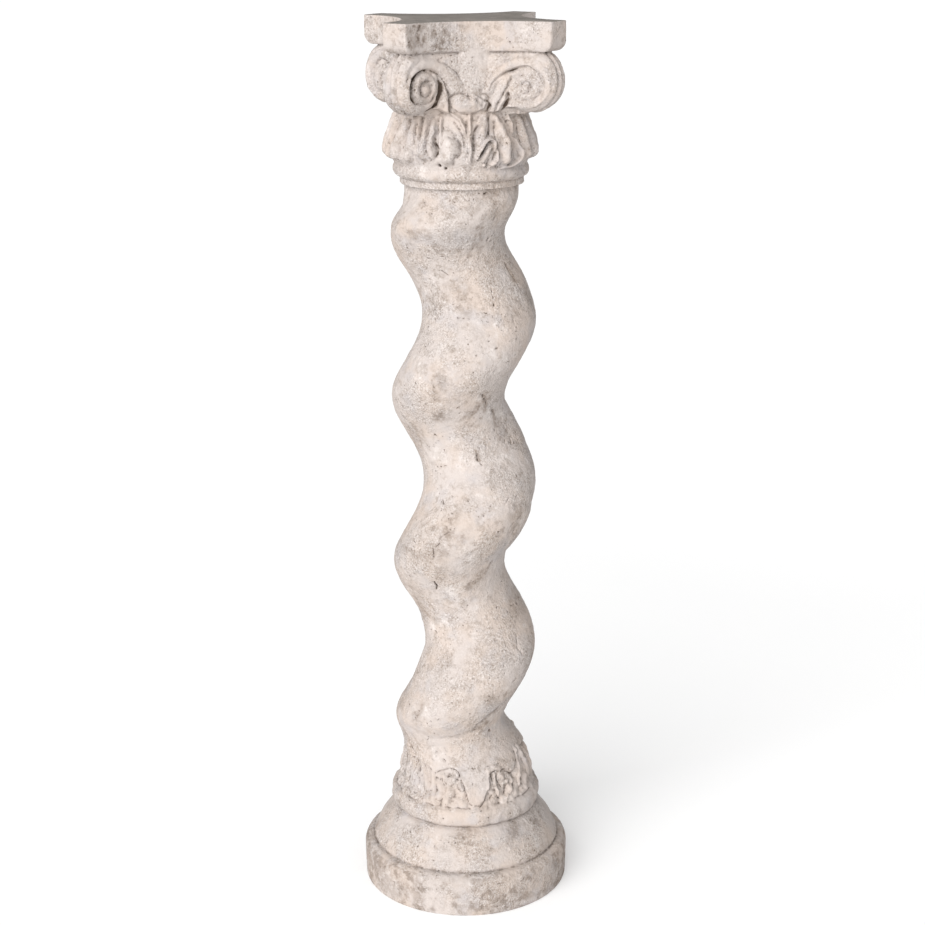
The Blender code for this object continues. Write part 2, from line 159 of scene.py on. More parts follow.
def hashed(cells, seed):
    """A repeatable value from 0 to 1 for each lattice cell."""
    primes = (374761393, 668265263, 2246822519)
    mixed = np.full(len(cells), (seed * 3266489917 + 374761393) % 2**32, np.uint32)
    for axis, prime in enumerate(primes):
        mixed = (mixed ^ (cells[:, axis].astype(np.uint32) * np.uint32(prime))) * np.uint32(1274126177)
        mixed ^= mixed >> np.uint32(15)
    mixed = (mixed ^ (mixed >> np.uint32(13))) * np.uint32(2246822519)
    mixed ^= mixed >> np.uint32(16)
    return (mixed & np.uint32(0xFFFFFF)) / float(0x1000000)


def noise(points, size, seed):
    """Smooth noise from -1 to 1, with features of about this size."""
    scaled = points / size
    cells = np.floor(scaled).astype(np.int64)
    part = scaled - cells
    weights = (1 - smooth_step(part), smooth_step(part))
    total = np.zeros(len(points))
    for corner in np.ndindex(2, 2, 2):
        weight = weights[corner[0]][:, 0] * weights[corner[1]][:, 1] * weights[corner[2]][:, 2]
        total += weight * hashed(cells + np.array(corner), seed)
    return 2 * total - 1


def rough(points, size, seed, octaves=3, gain=0.55):
    """Noise in several sizes, each half as large as the one before."""
    total = np.zeros(len(points))
    strength = 1.0
    for octave in range(octaves):
        total += strength * noise(points + octave * 0.0173, size, seed + octave)
        size /= 2
        strength *= gain
    return total


def patches(points, size, seed, start, width, octaves=3):
    """Patches of noise of about this size: 0 up to the start, and 1 from a width over it."""
    return smooth_step((rough(points, size, seed, octaves) - start) / width)


def pits(points, cell, share, radii, seed):
    """How deep each point lies in scattered uneven pits, from 0 to 1. This share of the cells has a pit."""
    bent = points + 0.55 * radii[1] * np.stack([noise(points, 0.8 * radii[1], seed + k) for k in range(3)], 1)
    base = np.floor(bent / cell).astype(np.int64)
    deepest = np.zeros(len(points))
    for step in np.ndindex(3, 3, 3):
        cells = base + np.array(step) - 1
        here = hashed(cells, seed + 3) < share
        centres = (cells + np.stack([hashed(cells, seed + 4 + k) for k in range(3)], 1)) * cell
        radius = mix(radii[0], radii[1], hashed(cells, seed + 7) ** 2)
        distance = np.linalg.norm(bent - centres, axis=1)
        deepest = np.maximum(deepest, here * np.clip(1 - (distance / radius) ** 2, 0, 1))
    return deepest


def worn(points, seed, wear):
    """Wear, grit and pits of a casting in millimetres. The pits are single, or small in loose clusters."""
    coarse, fine, pit_depth = wear
    uneven = coarse * rough(points, 0.050, seed, 2) + fine * rough(points, 0.012, seed + 4)
    clusters = patches(points, 0.060, seed + 8, 0.05, 0.6, 2)
    tall = points * np.array([1, 1, 0.6])
    single = pits(tall, 0.0190, 0.14, (0.0012, 0.0026), seed + 20)
    small = pits(tall, 0.0068, 0.40, (0.0011, 0.0018), seed + 40) * clusters
    gritty = GRIT * patches(points, 0.055, seed + 12, -0.30, 0.6, 2)
    gritty *= rough(points, 0.0042, seed + 14, 2)
    return uneven + gritty - pit_depth * np.maximum(single, 0.7 * small)


def stroke(flat, line):
    """The height of one stroke: a ridge, or a groove where its height is negative."""
    if len(line) == 1:
        line = np.concatenate([line, line])
    nearest = np.full(len(flat), np.inf)
    height = np.zeros(len(flat))
    for start, end in zip(line, line[1:]):
        along = end[:2] - start[:2]
        share = np.clip(((flat - start[:2]) @ along) / max(along @ along, 1e-9), 0, 1)
        distance = np.linalg.norm(flat - start[:2] - share[:, None] * along, axis=1)
        distance /= mix(start[2], end[2], share)
        closer = distance < nearest
        nearest = np.where(closer, distance, nearest)
        height = np.where(closer, mix(start[3], end[3], share), height)
    if line[0, 3] > 0:
        return height * np.clip(1 - nearest**2, 0, 1) ** 0.8
    return height * (1 - smooth_step(nearest))


def carved(flat, strokes, seed=0, uneven=True, gaps=False):
    """The height of carving. Each stroke has an x, y, half width and height for each of its points."""
    place = np.concatenate([flat, np.full((len(flat), 1), 10.0 * seed)], 1)
    depth = np.ones(len(flat))
    if uneven:
        flat = flat + 0.9 * np.stack([noise(place, 7.0, seed), noise(place, 7.0, seed + 1)], 1)
        depth = 0.85 + 0.35 * noise(place, 6.0, seed + 2)
    if gaps:
        depth *= smooth_step((noise(place, 3.6, seed + 3) + 0.30) / 0.6)
    high = np.zeros(len(flat))
    low = np.zeros(len(flat))
    for numbers in strokes:
        line = np.reshape(numbers, (-1, 4)).astype(float)
        margin = line[:, 2].max()
        inside = (flat > line[:, :2].min(0) - margin).all(1) & (flat < line[:, :2].max(0) + margin).all(1)
        near = np.nonzero(inside)[0]
        if len(near) == 0:
            continue
        height = stroke(flat[near], line)
        if line[0, 3] > 0:
            high[near] = np.maximum(high[near], height)
        else:
            low[near] = np.minimum(low[near], height * depth[near])
    return high + low


# Meshes


def new_object(name, points, faces):
    mesh = bpy.data.meshes.new(name)
    mesh.from_pydata(points.tolist(), [], faces)
    obj = bpy.data.objects.new(name, mesh)
    bpy.context.scene.collection.objects.link(obj)
    return obj


def tube(name, rings):
    """A closed body through rings of points, from the top down, each turning to the left seen from above."""
    rows, columns = rings.shape[:2]
    ends = np.stack([rings[0].mean(0), rings[-1].mean(0)])
    points = np.concatenate([rings.reshape(-1, 3), ends])
    here = np.arange(columns)
    after = (here + 1) % columns
    start = np.arange(rows - 1)[:, None] * columns
    quads = np.stack([start + here, start + columns + here, start + columns + after, start + after], -1)
    faces = quads.reshape(-1, 4).tolist()
    last = (rows - 1) * columns
    top, bottom = rows * columns, rows * columns + 1
    faces += [[int(a), int(b), top] for a, b in zip(here, after)]
    faces += [[int(last + b), int(last + a), bottom] for a, b in zip(here, after)]
    return new_object(name, points, faces)


def apply_modifiers(obj):
    graph = bpy.context.evaluated_depsgraph_get()
    mesh = bpy.data.meshes.new_from_object(obj.evaluated_get(graph))
    obj.modifiers.clear()
    old = obj.data
    obj.data = mesh
    bpy.data.meshes.remove(old)


def joined(name, objects):
    """One object with the meshes of several, which are removed."""
    points, faces, offset = [], [], 0
    for obj in objects:
        here = get_points(obj)
        points.append(here)
        faces += [[corner + offset for corner in face.vertices] for face in obj.data.polygons]
        offset += len(here)
        bpy.data.objects.remove(obj, do_unlink=True)
    return new_object(name, np.concatenate(points), faces)


def get_points(obj):
    points = np.empty(len(obj.data.vertices) * 3, np.float32)
    obj.data.vertices.foreach_get("co", points)
    return points.reshape(-1, 3).astype(float)


def set_points(obj, points):
    obj.data.vertices.foreach_set("co", points.astype(np.float32).ravel())
    obj.data.update()


def get_normals(obj):
    normals = np.empty(len(obj.data.vertices) * 3, np.float32)
    obj.data.vertex_normals.foreach_get("vector", normals)
    return normals.reshape(-1, 3).astype(float)


def thin(obj):
    """Takes triangles out where the surface is plain, until the mesh has no more than the limit."""
    obj.data.calc_loop_triangles()
    count = len(obj.data.loop_triangles)
    if count > TRIANGLE_LIMIT:
        modifier = obj.modifiers.new("Thin", "DECIMATE")
        modifier.ratio = TRIANGLE_LIMIT / count
        apply_modifiers(obj)


def hollowness(obj, passes):
    """How far each point lies below the surface smoothed over its neighbours, in millimetres."""
    points, normals = get_points(obj), get_normals(obj)
    edges = np.empty(len(obj.data.edges) * 2, np.int32)
    obj.data.edges.foreach_get("vertices", edges)
    a, b = edges.reshape(-1, 2).T
    count = len(points)
    degree = np.maximum(np.bincount(a, minlength=count) + np.bincount(b, minlength=count), 1)
    smooth = points.copy()
    for _ in range(passes):
        for axis in range(3):
            column = smooth[:, axis]
            total = np.bincount(a, column[b], count) + np.bincount(b, column[a], count)
            smooth[:, axis] = total / degree
    return ((smooth - points) * normals).sum(1) / MM


def set_attribute(obj, name, values):
    attribute = obj.data.attributes.new(name, "FLOAT", "POINT")
    attribute.data.foreach_set("value", values.astype(np.float32))


def reshape(obj, points):
    """Gives a piece its finished surface, thinned to the limit."""
    set_points(obj, points)
    thin(obj)


def finish_piece(obj, node, material, stain_and_shade):
    """Stores what the material reads, the hollows for painted shade and the stains with painted shade, and
    ties the piece to its place in the frame.
    """
    obj.data.shade_smooth()
    # The hollows, fine and broad, which the material darkens as painted shade
    set_attribute(obj, "crevice_shade", hollowness(obj, 4))
    set_attribute(obj, "recess_shade", hollowness(obj, 24))
    set_attribute(obj, "stain_and_shade", np.clip(stain_and_shade(get_points(obj)), 0, 1))
    obj.data.materials.append(material)
    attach(obj, "root")
    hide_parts(node)


# The plinth

PLINTH_SKIN = 0.0004
PLINTH_CENTRE = 0.004
DISC_EASING = 14
# The foot of the side of the disc, down into the groove: out from the side and up from the drum
GROOVE = ((-0.0004, 0.0022), (-0.0002, 0.0008), (0.0008, 0.0))
CHIP_DEPTH = 1.6
CHIP_REACH = 0.008
# Patches of dirt: angle from the front in degrees, reach and height in metres, radius in metres, strength
PLINTH_STAINS = (
    (61, 0.117, 0.108, 0.017, 0.85), (66, 0.131, 0.078, 0.012, 0.5), (-62, 0.146, 0.036, 0.024, 0.6),
    (-28, 0.147, 0.026, 0.02, 0.4), (20, 0.147, 0.022, 0.022, 0.55), (38, 0.147, 0.014, 0.02, 0.35),
    (72, 0.146, 0.034, 0.026, 0.4), (130, 0.146, 0.03, 0.028, 0.5), (200, 0.12, 0.106, 0.02, 0.5),
    (250, 0.146, 0.028, 0.024, 0.5),
)


def evenly(profile, step):
    """The same profile with points at even steps, and its corners kept."""
    points = [np.array(profile[0], float)]
    for start, end in zip(profile, profile[1:]):
        start, end = np.array(start, float), np.array(end, float)
        count = max(1, round(float(np.linalg.norm(end - start)) / step))
        points += [start + (end - start) * k / count for k in range(1, count + 1)]
    return np.array(points)


def rounded(corner, radius, start_deg, end_deg, steps):
    angles = np.radians(np.linspace(start_deg, end_deg, steps))
    return [(corner[0] + radius * math.cos(a), corner[1] + radius * math.sin(a)) for a in angles]


def plinth_profile():
    drum = DRUM_RADIUS - PLINTH_SKIN
    disc = DISC_RADIUS - PLINTH_SKIN
    foot = drum - DRUM_FOOT_INSET
    shoulder = (SEAT_RADIUS + DISC_SHOULDER_WIDTH, PLINTH_HEIGHT - DISC_SHOULDER_DROP)
    side = (disc, DRUM_HEIGHT + DISC_SIDE_HEIGHT)
    between = (mix(shoulder[0], side[0], 0.5) + DISC_BULGE, mix(shoulder[1], side[1], 0.5) + DISC_BULGE)
    return (
        [(PLINTH_CENTRE, PLINTH_HEIGHT), (SEAT_RADIUS - 0.008, PLINTH_HEIGHT)]
        + [(SEAT_RADIUS, PLINTH_HEIGHT - 0.0003), shoulder, between, side]
        + [(disc + out, DRUM_HEIGHT + up) for out, up in GROOVE]
        + rounded((drum - DRUM_SHOULDER, DRUM_HEIGHT - DRUM_SHOULDER), DRUM_SHOULDER, 83, 0, 12)
        + [(foot, 0.0016), (foot - 0.0014, 0.0), (PLINTH_CENTRE, 0.0)]
    )


def eased(profile):
    """The profile with the slope of the disc rounded off."""
    reach, height = profile[:, 0], profile[:, 1]
    slope = (reach > SEAT_RADIUS - 0.002) & (height > DRUM_HEIGHT + 0.006)
    slope[[0, -1]] = False
    here = np.nonzero(slope)[0]
    profile = profile.copy()
    for _ in range(DISC_EASING):
        profile[here] = 0.5 * profile[here] + 0.25 * (profile[here - 1] + profile[here + 1])
    return profile


def plinth_stain(points):
    total = 0.45 * patches(points, 0.034, 301, 0.20, 0.7)
    drum = points[:, 2] < DRUM_HEIGHT - 0.004
    total += drum * (0.18 + 0.34 * patches(points, 0.016, 305, -0.05, 0.8))
    total += drum * 0.20 * smooth_step((-points[:, 0] / DRUM_RADIUS - 0.30) / 0.5)
    for angle, reach, height, radius, strength in PLINTH_STAINS:
        turn = math.radians(angle)
        place = np.array((reach * math.sin(turn), -reach * math.cos(turn), height))
        distance = np.linalg.norm(points - place, axis=1) + 0.007 * rough(points, 0.012, 309)
        total = np.maximum(total, strength * (1 - smooth_step(distance / radius)))
    return np.minimum(total, PLINTH_DIRT)


def make_plinth():
    profile = eased(evenly(plinth_profile(), ROUND_STEP))
    angles = full_turn(ROUND_POINTS)
    reach, height = profile[:, 0][:, None], profile[:, 1][:, None]
    rings = np.stack([reach * np.cos(angles), reach * np.sin(angles), height + 0 * angles], -1)
    obj = tube("plinth_stone", rings)
    points, normals = get_points(obj), get_normals(obj)
    move = worn(points, 11, PLINTH_WEAR) - PLINTH_SINK
    chipped = CHIP_DEPTH * patches(points, 0.018, 41, 0.8, 0.5)
    move = np.minimum(move - chipped * edge_share(points), 0.1)
    inside = (points[:, 2] > 0.0015) & (points[:, 2] < PLINTH_HEIGHT - 0.0004)
    reshape(obj, points + normals * (move * inside * MM)[:, None])
    finish_piece(obj, "plinth", MATERIALS["plinth"], plinth_stain)


def edge_share(points):
    """How near a point of the plinth is to one of its outer edges, from 0 to 1."""
    reach = np.hypot(points[:, 0], points[:, 1])
    shares = np.zeros(len(points))
    shoulder = (DRUM_RADIUS - 0.004, DRUM_HEIGHT - 0.004)
    for radius, height in ((DRUM_RADIUS, 0.0), shoulder, (DISC_RADIUS, DRUM_HEIGHT + 0.006)):
        shares = np.maximum(shares, 1 - np.hypot(reach - radius, points[:, 2] - height) / CHIP_REACH)
    return smooth_step(shares)


# The twisted shaft

# The roll and the flare over it, as height over the top of the roll and reach, in millimetres
ROLL = (
    (-26, 98.6), (-24.5, 101.6), (-20, 104.9), (-13, 106), (-6, 105.6), (-1, 103.8), (4, 99), (10, 96),
    (20, 92),
)
# The height of the scalloped hem of the skin over the leaves, by the way round from the front
HEM = (
    (-157, 54), (-110, 56), (-92, 54), (-80, 50), (-67, 46), (-57, 50), (-43, 53), (-35, 53), (-29, 50),
    (-26.5, 44), (-24, 36), (-20, 31), (-17, 26), (-14, 18), (-12, 11), (-6, 7), (0, 6.5), (4, 8), (9, 11),
    (13, 20), (18, 30), (19, 40), (20, 47), (31, 50), (41, 48), (51, 45), (64, 40), (74, 46), (85, 60),
    (110, 62), (157, 54),
)
# The skin's thickness and the width of its torn edge, and how much of their height the grooves keep
SKIN = 4.3
SKIN_EDGE = 4.4
LINE_DEPTH = 0.60
LUMPS = 2.3
# The crease over the roll: depth, height over the roll and width
CREASE = (-3.0, 2.5, 2.3)
# Strokes on the leaves. A stroke is a row of points, each with its way round from the front, its height over
# the roll, half width and height, in millimetres
SHEATH_STROKES = (
    (-87, 80, 5, 1.2), (-65, 86, 5, 1.2), (-55, 79, 4, 1.2), (-79, 70, 5, 1.4), (-43, 78, 5, 1.2),
    (-103, 57, 2.4, -4), (-80, 51, 2.2, -4), (-48, 64, 2.2, -3.6, -46, 62, 1.8, -3), (-42, 71, 1.8, -2.6),
    (-36, 69, 2.6, -2, -27, 66, 1.6, -2),
    (-114, 48, 2, -3, -119, 34, 2, -3, -121, 25, 2, -3, -117, 19, 2, -3, -109, 16, 2, -2.4),
    (-108, 45, 3.4, 3.2, -112, 36, 3.4, 3.4, -115, 25, 3.4, 3.4, -110, 19, 3.4, 3.2, -102, 13, 3, 2.6),
    (-108, 34, 2, -3, -103, 29, 2, -3, -100, 24, 1.8, -2.4),
    (-97, 51, 4.5, 3.6, -91, 41, 4.5, 3.8, -86, 31, 4.5, 3.6, -82, 19, 4.5, 3.2),
    (-88, 53, 1.8, -2.6, -83, 44, 1.8, -2.8, -79, 32, 1.8, -2.6, -76, 22, 1.6, -2),
    (-74, 44, 4.5, 3, -72, 32, 4.5, 3, -70, 20, 4.5, 2.8, -68, 12, 4, 2.4),
    (-126, 68, 5, 3.5, -115, 60, 5, 3.5), (-130, 52, 5, 3, -134, 34, 5, 3.4, -132, 18, 5, 3),
    (-67, 46, 2, -2.6, -57, 50, 2, -3.4, -43, 53, 2.2, -3.8, -35, 53, 2.2, -4),
    (-35, 53, 2.2, -4, -29, 50, 2.2, -4.4, -27, 46, 2.2, -4.6, -28, 42, 1.8, -3.4), (-51, 36, 6, 3),
    (-44, 37, 5, 2.8, -36, 40, 4.5, 2.6), (-60, 29, 6.5, 2.8), (-77, 25, 5, 2), (-73, 14, 5.5, 2.6),
    (-58, 17, 7, 3), (-41, 23, 7, 3.2), (-47, 12, 7, 2.6),
    (-54, 35, 1.5, -2.2, -51, 32, 1.5, -2.4, -49, 23, 1.4, -1.8),
    (-34, 40, 1.7, -3, -25, 39, 1.8, -3.6, -20, 32, 1.8, -3.6, -18, 28, 1.6, -2.6),
    (-26, 33, 4.2, 3.4, -24, 29, 4, 3),
    (-32, 34, 1.4, -2, -30, 27, 1.5, -2.4, -24, 24, 1.5, -2.6, -19, 27, 1.4, -2.2),
    (-28, 16, 1.7, -2.4, -17, 17, 1.8, -2.8, -15, 22, 1.6, -2.2), (-24, 10, 6, 2.6, -18, 8, 5, 2.4),
    (-77, 2, 2, -2.4, -71, -1, 1.8, -2.2), (-80, -7, 1.6, -1.6), (-75, -12, 1.6, -1.8),
    (20, 50, 4, 3, 31, 52, 4.4, 3.6, 41, 49, 3.6, 2.8),
    (41, 49, 2.5, -2.2, 51, 46, 2.6, -2.8, 64, 41, 2.4, -2.4), (20, 38, 1.8, -3.6, 22, 28, 1.8, -3.6),
    (24, 43, 1.8, -3.6, 26, 34, 1.8, -3.6), (34, 43, 1.8, -3.2, 35, 34, 1.8, -3.6, 40, 24, 1.7, -3.2),
    (29, 44, 2.8, 3.4, 29, 35, 3, 3.4, 31, 25, 2.8, 3.2, 34, 16, 2.4, 2.6),
    (22, 45, 2.6, 3, 20, 33, 2.6, 2.6), (50, 31, 4.8, 3.2), (58, 19, 5, 3),
    (43, 37, 4.6, 3.2, 45, 30, 4, 2.8), (18, 30, 4, 2.6), (41, 28, 4, 2.8, 44, 20, 4, 2.6),
    (62, 29, 4.6, 3), (27, 12, 5, 2.4, 22, 20, 4, 2.4), (23, 17, 2.2, -4, 20, 12, 2, -3.4),
    (34, 12, 2, -3.4, 37, 9, 1.8, -2.6), (21, 25, 2, -3.6), (55, 29, 1.8, -2.8, 56, 25, 1.8, -2.8),
    (51, 26, 1.6, -2.4, 47, 21, 2, -3.2, 45, 14, 1.8, -2.8), (51, 13, 1.8, -3, 55, 11, 1.8, -3),
    (64, 17, 1.8, -2.8, 66, 24, 1.8, -2.8),
    (14, 20, 1.8, -3.4, 13, 14, 2, -3.8, 9, 8, 2.2, -4, 3, 3, 1.8, -3),
    (90, 62, 4, 3.4, 86, 51, 3.6, 3.8, 83, 38, 4.4, 3.4, 76, 28, 3.6, 3.6, 77, 19, 3, 3),
    (94, 52, 2.6, -2.2, 90, 40, 2.6, -2.6, 86, 28, 2.4, -2.4),
    (100, 62, 5, 3.6, 104, 46, 5, 3.4, 110, 34, 5, 3.2, 112, 22, 5, 2.8), (96, 24, 6, 3, 92, 12, 6, 2.6),
    (122, 52, 5, 3, 128, 34, 5, 3.4, 126, 18, 5, 3),
    (118, 54, 1.8, -2.6, 120, 38, 1.8, -2.8, 118, 22, 1.8, -2.4),
    (140, 48, 5, 2.8, 146, 30, 6, 3.2, 150, 14, 6, 2.8),
    (135, 52, 1.8, -2.6, 138, 34, 1.8, -2.8, 136, 18, 1.6, -2.2),
    (24, 5, 3.2, -1.4, 47, 4, 3.6, -1.8, 74, -3, 3, -1.4), (-7, 4, 3.6, 2.2, 2, 1, 3.6, 2.6, 11, 3, 3, 2),
)
# Marks on the twist, with heights over the floor
SHAFT_MARKS = (
    (22, 1002, 2.2, -1.4, 34, 1003, 2.4, -2.2), (-47, 975, 2, -2.4), (-18, 994, 1.7, -2.2),
    (54, 984, 1.4, -1.2, 50, 978, 1.3, -1.2, 58, 968, 2, -2.4), (-3, 966, 1.5, -1.2, -5, 959, 1.5, -1.4),
    (-14, 954, 1.6, -1.6, -10, 956, 1.4, -1), (-34, 970, 1.4, -0.9, -14, 962, 1.4, -0.9),
    (58, 938, 2.2, -1.8, 62, 943, 1.8, -1.4), (70, 952, 2, -1.2, 74, 940, 2, -1.2, 70, 930, 1.8, -1.2),
    (-25, 926, 2.8, -3.6), (-21, 898, 1.8, -1.6, -17, 893, 1.6, -1.4),
    (-10, 889, 1.6, -1.2, -8, 882, 1.6, -1.2), (-62, 868, 2.2, -2.2, -60, 871, 1.5, -1.4),
    (-69, 853, 2.4, -1.6, -66, 848, 2.6, -2, -68, 830, 1.8, -1.2),
    (30, 873, 1.4, -1.4, 26, 862, 1.5, -1.6, 24, 855, 2.2, -2.8, 21, 850, 2, -2.4),
    (75, 901, 2.2, -1.8, 74, 889, 2.4, -2.2, 76, 880, 2, -1.8, 77, 868, 1.6, -1.4),
    (74, 860, 2, -2.2, 72, 854, 1.8, -2), (14, 819, 1.5, -1.6, 15, 811, 1.6, -2),
    (31, 801, 2, -1.8, 8, 804, 1.6, -1.4), (-30, 838, 1.8, -1.2, -14, 838, 1.6, -1.2),
    (46, 735, 2.8, -2, 57, 721, 3.2, -2.8), (35, 710, 2.8, -2.8, 43, 719, 2.4, -1.8),
    (64, 713, 2.2, -2.4, 69, 699, 2.4, -2.8), (61, 684, 1.8, -1.6, 56, 674, 2, -1.8),
    (77, 662, 1.6, -2.6, 72, 653, 1.6, -2.8), (90, 642, 2, -1.8),
    (22, 658, 1.8, -1.4, 12, 647, 2.2, -2.4, 8, 638, 2.2, -2.4, 14, 628, 1.6, -1.2),
    (-59, 626, 1.3, -1.6, -45, 629, 1.4, -1.8, -40, 630, 1.2, -1.2),
    (-53, 582, 2.2, -2.2, -56, 587, 1.6, -1.4), (-62, 593, 1.7, -1.6, -59, 586, 1.6, -1.6),
    (-43, 596, 1.8, -1.6, -38, 592, 1.6, -1.2), (53, 590, 1.8, -4, 45, 583, 1.8, -4),
    (40, 590, 1.3, -1.6, 36, 584, 1.2, -1.2),
    (78, 564, 1.8, -1.4, 70, 558, 1.7, -2, 62, 550, 1.6, -1.8, 64, 542, 1.4, -1.2),
    (72, 536, 1.8, -2.4, 66, 532, 1.6, -1.6),
    (-28, 550, 1.4, -1.6, -36, 542, 1.6, -2, -33, 531, 1.5, -1.8, -37, 524, 1.6, -2),
    (-37, 524, 1.6, -2, -30, 514, 1.7, -2, -26, 508, 1.4, -1.2), (-66, 531, 1.8, -1.8),
    (-21, 470, 2, -4.2, -19, 463, 2, -4.2, -22, 456, 1.8, -2.6), (56, 494, 1.8, -2, 66, 496, 1.8, -2.4),
    (27, 452, 1.4, -1.4, 36, 458, 1.4, -1.4), (74, 417, 1.4, -2, 88, 415, 1.4, -2.2, 106, 418, 1.4, -2.2),
    (60, 430, 1.4, -1.4, 50, 422, 1.5, -2.2, 45, 416, 1.4, -2, 36, 408, 1.8, -2.6), (-42, 397, 1.9, -2.2),
    (-39, 344, 1.7, -1.8, -34, 346, 1.4, -1.2), (-46, 331, 1.6, -1.6), (-28, 340, 1.5, -1.4),
    (34, 350, 2, -2.4, 39, 344, 2, -2.8, 37, 338, 1.8, -2.4), (61, 322, 1.7, -2, 66, 326, 1.4, -1.4),
    (-22, 304, 1.6, -1.4, -13, 297, 1.6, -1.6, -7, 303, 1.4, -1.2), (56, 240, 1.8, -3, 62, 242, 2, -3.2),
    (20, 388, 3.4, -0.8, 26, 380, 3, -1, 16, 376, 2.6, -0.7),
    (60, 384, 2.4, -1, 56, 366, 2.2, -1, 66, 356, 2.2, -1),
)
# Patches of dirt on the twist, and painted shade under its turns, placed in the same way, with a strength
# from 0 to 1 as the height
SHAFT_STAINS_AND_SHADE = (
    (-14, 930, 9, 0.45, 3, 926, 11, 0.5, 22, 922, 9, 0.45, 40, 930, 10, 0.4),
    (38, 975, 9, 0.35, 44, 945, 9, 0.4, 46, 910, 8, 0.35), (30, 1004, 9, 0.55, 44, 1000, 8, 0.45),
    (46, 736, 8, 0.75, 57, 722, 9, 0.85, 52, 708, 6, 0.5),
    (34, 709, 7, 0.75, 43, 719, 6, 0.6, 20, 696, 9, 0.4, 0, 688, 9, 0.25),
    (64, 713, 4.5, 0.7, 69, 698, 4.5, 0.8, 66, 682, 5, 0.5), (16, 652, 4, 0.5, 9, 640, 4.5, 0.8),
    (20, 460, 9, 0.5, 33, 467, 10, 0.55, 52, 482, 9, 0.5, 62, 494, 6, 0.6),
    (52, 268, 9, 0.7, 40, 250, 9, 0.6, 66, 280, 8, 0.45), (75, 900, 4.5, 0.5, 75, 880, 4.5, 0.5),
    (-60, 290, 12, 0.3, -52, 262, 12, 0.35), (60, 241, 4, 0.7), (-30, 700, 14, 0.2, 0, 704, 14, 0.25),
    (-40, 560, 10, 0.2, -30, 545, 9, 0.3),
)
# Places where the hand-made twist is fuller or slighter than its rule, and the fold under its lowest turn
SHAFT_SWELLS = (
    (-112, 955, 36, -3.8), (112, 853, 38, -5.5), (112, 925, 24, -2), (112, 676, 34, 4.6),
    (112, 535, 34, 5.4), (-112, 415, 30, -2.8), (-112, 327, 28, 3.2), (112, 245, 26, -3.4),
    (-112, 1000, 22, 3.2), (112, 992, 22, -2.6),
    (100, 322, 8, -1.2, 92, 300, 9, -1.8, 72, 284, 10, -2.4, 52, 268, 10, -2.8),
    (52, 268, 10, -2.8, 36, 248, 9, -2.4, 10, 238, 9, -1.6, -30, 236, 8, -1.2, -70, 246, 8, -0.8),
    (-10, 500, 9, 0.8, 0, 490, 9, 0.8),
)
SHEATH_RADIUS_MM = 100
TWIST_WAY_MM = 77
# How far round and how far down the marks of the front come again on the back, mirrored
BACK_ASIDE = 14
BACK_DOWN = 21


def twist_angle(z):
    half = SHAFT_HEIGHT / 2
    off_middle = z - (SHAFT_FOOT + half)
    share = off_middle / half
    drift = TWIST_TIGHTENING * share**3 + TWIST_UNEVENNESS * share**2
    return 2 * math.pi * off_middle / TWIST_PITCH + TWIST_MIDDLE_TURN + drift


def twist_rise(z):
    return smooth_step((z - SHAFT_FOOT - TORUS_HEIGHT - FOOT_RISE) / FOOT_FADE)


def twist_fall(z):
    return smooth_step((SHAFT_HEAD - z) / HEAD_FADE)


def twist_centre(z):
    throw = TWIST_THROW * twist_rise(z) * twist_fall(z)
    lean = twist_angle(z)
    return throw * np.cos(lean), throw * np.sin(lean)


def twist_radius(z):
    radius = mix(FOOT_RADIUS, mix(HEAD_RADIUS, TWIST_RADIUS, twist_fall(z)), twist_rise(z))
    share = np.clip((z - SHEATH_FOOT) / SHEATH_HEIGHT, 0, 1)
    return radius + SHEATH_FLARE * (1 - share) ** 2


def half_turn(way, half):
    """The same way round, from minus the half to the half."""
    return (way + half) % (2 * half) - half


def sheath_relief(angle, z):
    """The carved leaves round the foot of the shaft and the skin over them, in millimetres."""
    height = (z - SHEATH_FOOT) / MM
    half = math.pi / 2 * SHEATH_RADIUS_MM
    way = half_turn((angle + math.pi / 2 - CAPITAL_TURN) * SHEATH_RADIUS_MM, half)
    flat = np.stack([way, height, 0 * way], 1)
    hem = through(HEM, way) + 1.2 * noise(flat, 6.0, 401)
    skin = SKIN * smooth_step((height - hem) / SKIN_EDGE + 0.5) * (1 - smooth_step((height - 42) / 44))
    under = smooth_step((height - 1) / 4) * smooth_step((hem - height) / 4)
    lumps = LUMPS * rough(flat, 11.0, 405, 3, 0.5) * under
    fade = smooth_step((height + 20) / 8) * smooth_step((96 - height) / 12)
    depth, middle, width = CREASE
    uneven = 0.7 + 0.5 * noise(flat * (1, 0, 0), 14.0, 415)
    crease = depth * np.exp(-(((height - middle) / width) ** 2)) * uneven
    lines = carved(flat[:, :2], SHEATH_STROKES, 411)
    lines = np.where(lines < 0, LINE_DEPTH * lines, lines)
    swollen = 1.3 * rough(flat, 17.0, 417, 2) * smooth_step((4 - height) / 8)
    return (skin + lumps + lines) * fade + crease + swollen


def twist_way(points):
    """Where each point is on the twist: the way round from the front and the height, in millimetres."""
    x, y = twist_centre(points[:, 2])
    angle = np.arctan2(points[:, 0] - x, -(points[:, 1] - y))
    return np.stack([angle * TWIST_WAY_MM, points[:, 2] / MM], 1)


def twist_strokes(points, strokes, seed, gaps=False):
    """The strokes in their places on the front, and the same mirrored and a little lower on the back."""
    flat = twist_way(points)
    half = math.pi * TWIST_WAY_MM
    back = np.stack([BACK_ASIDE - half_turn(flat[:, 0] + half, half), flat[:, 1] + BACK_DOWN], 1)
    return carved(flat, strokes, seed, gaps=gaps) + carved(back, strokes, seed + 5, gaps=gaps)


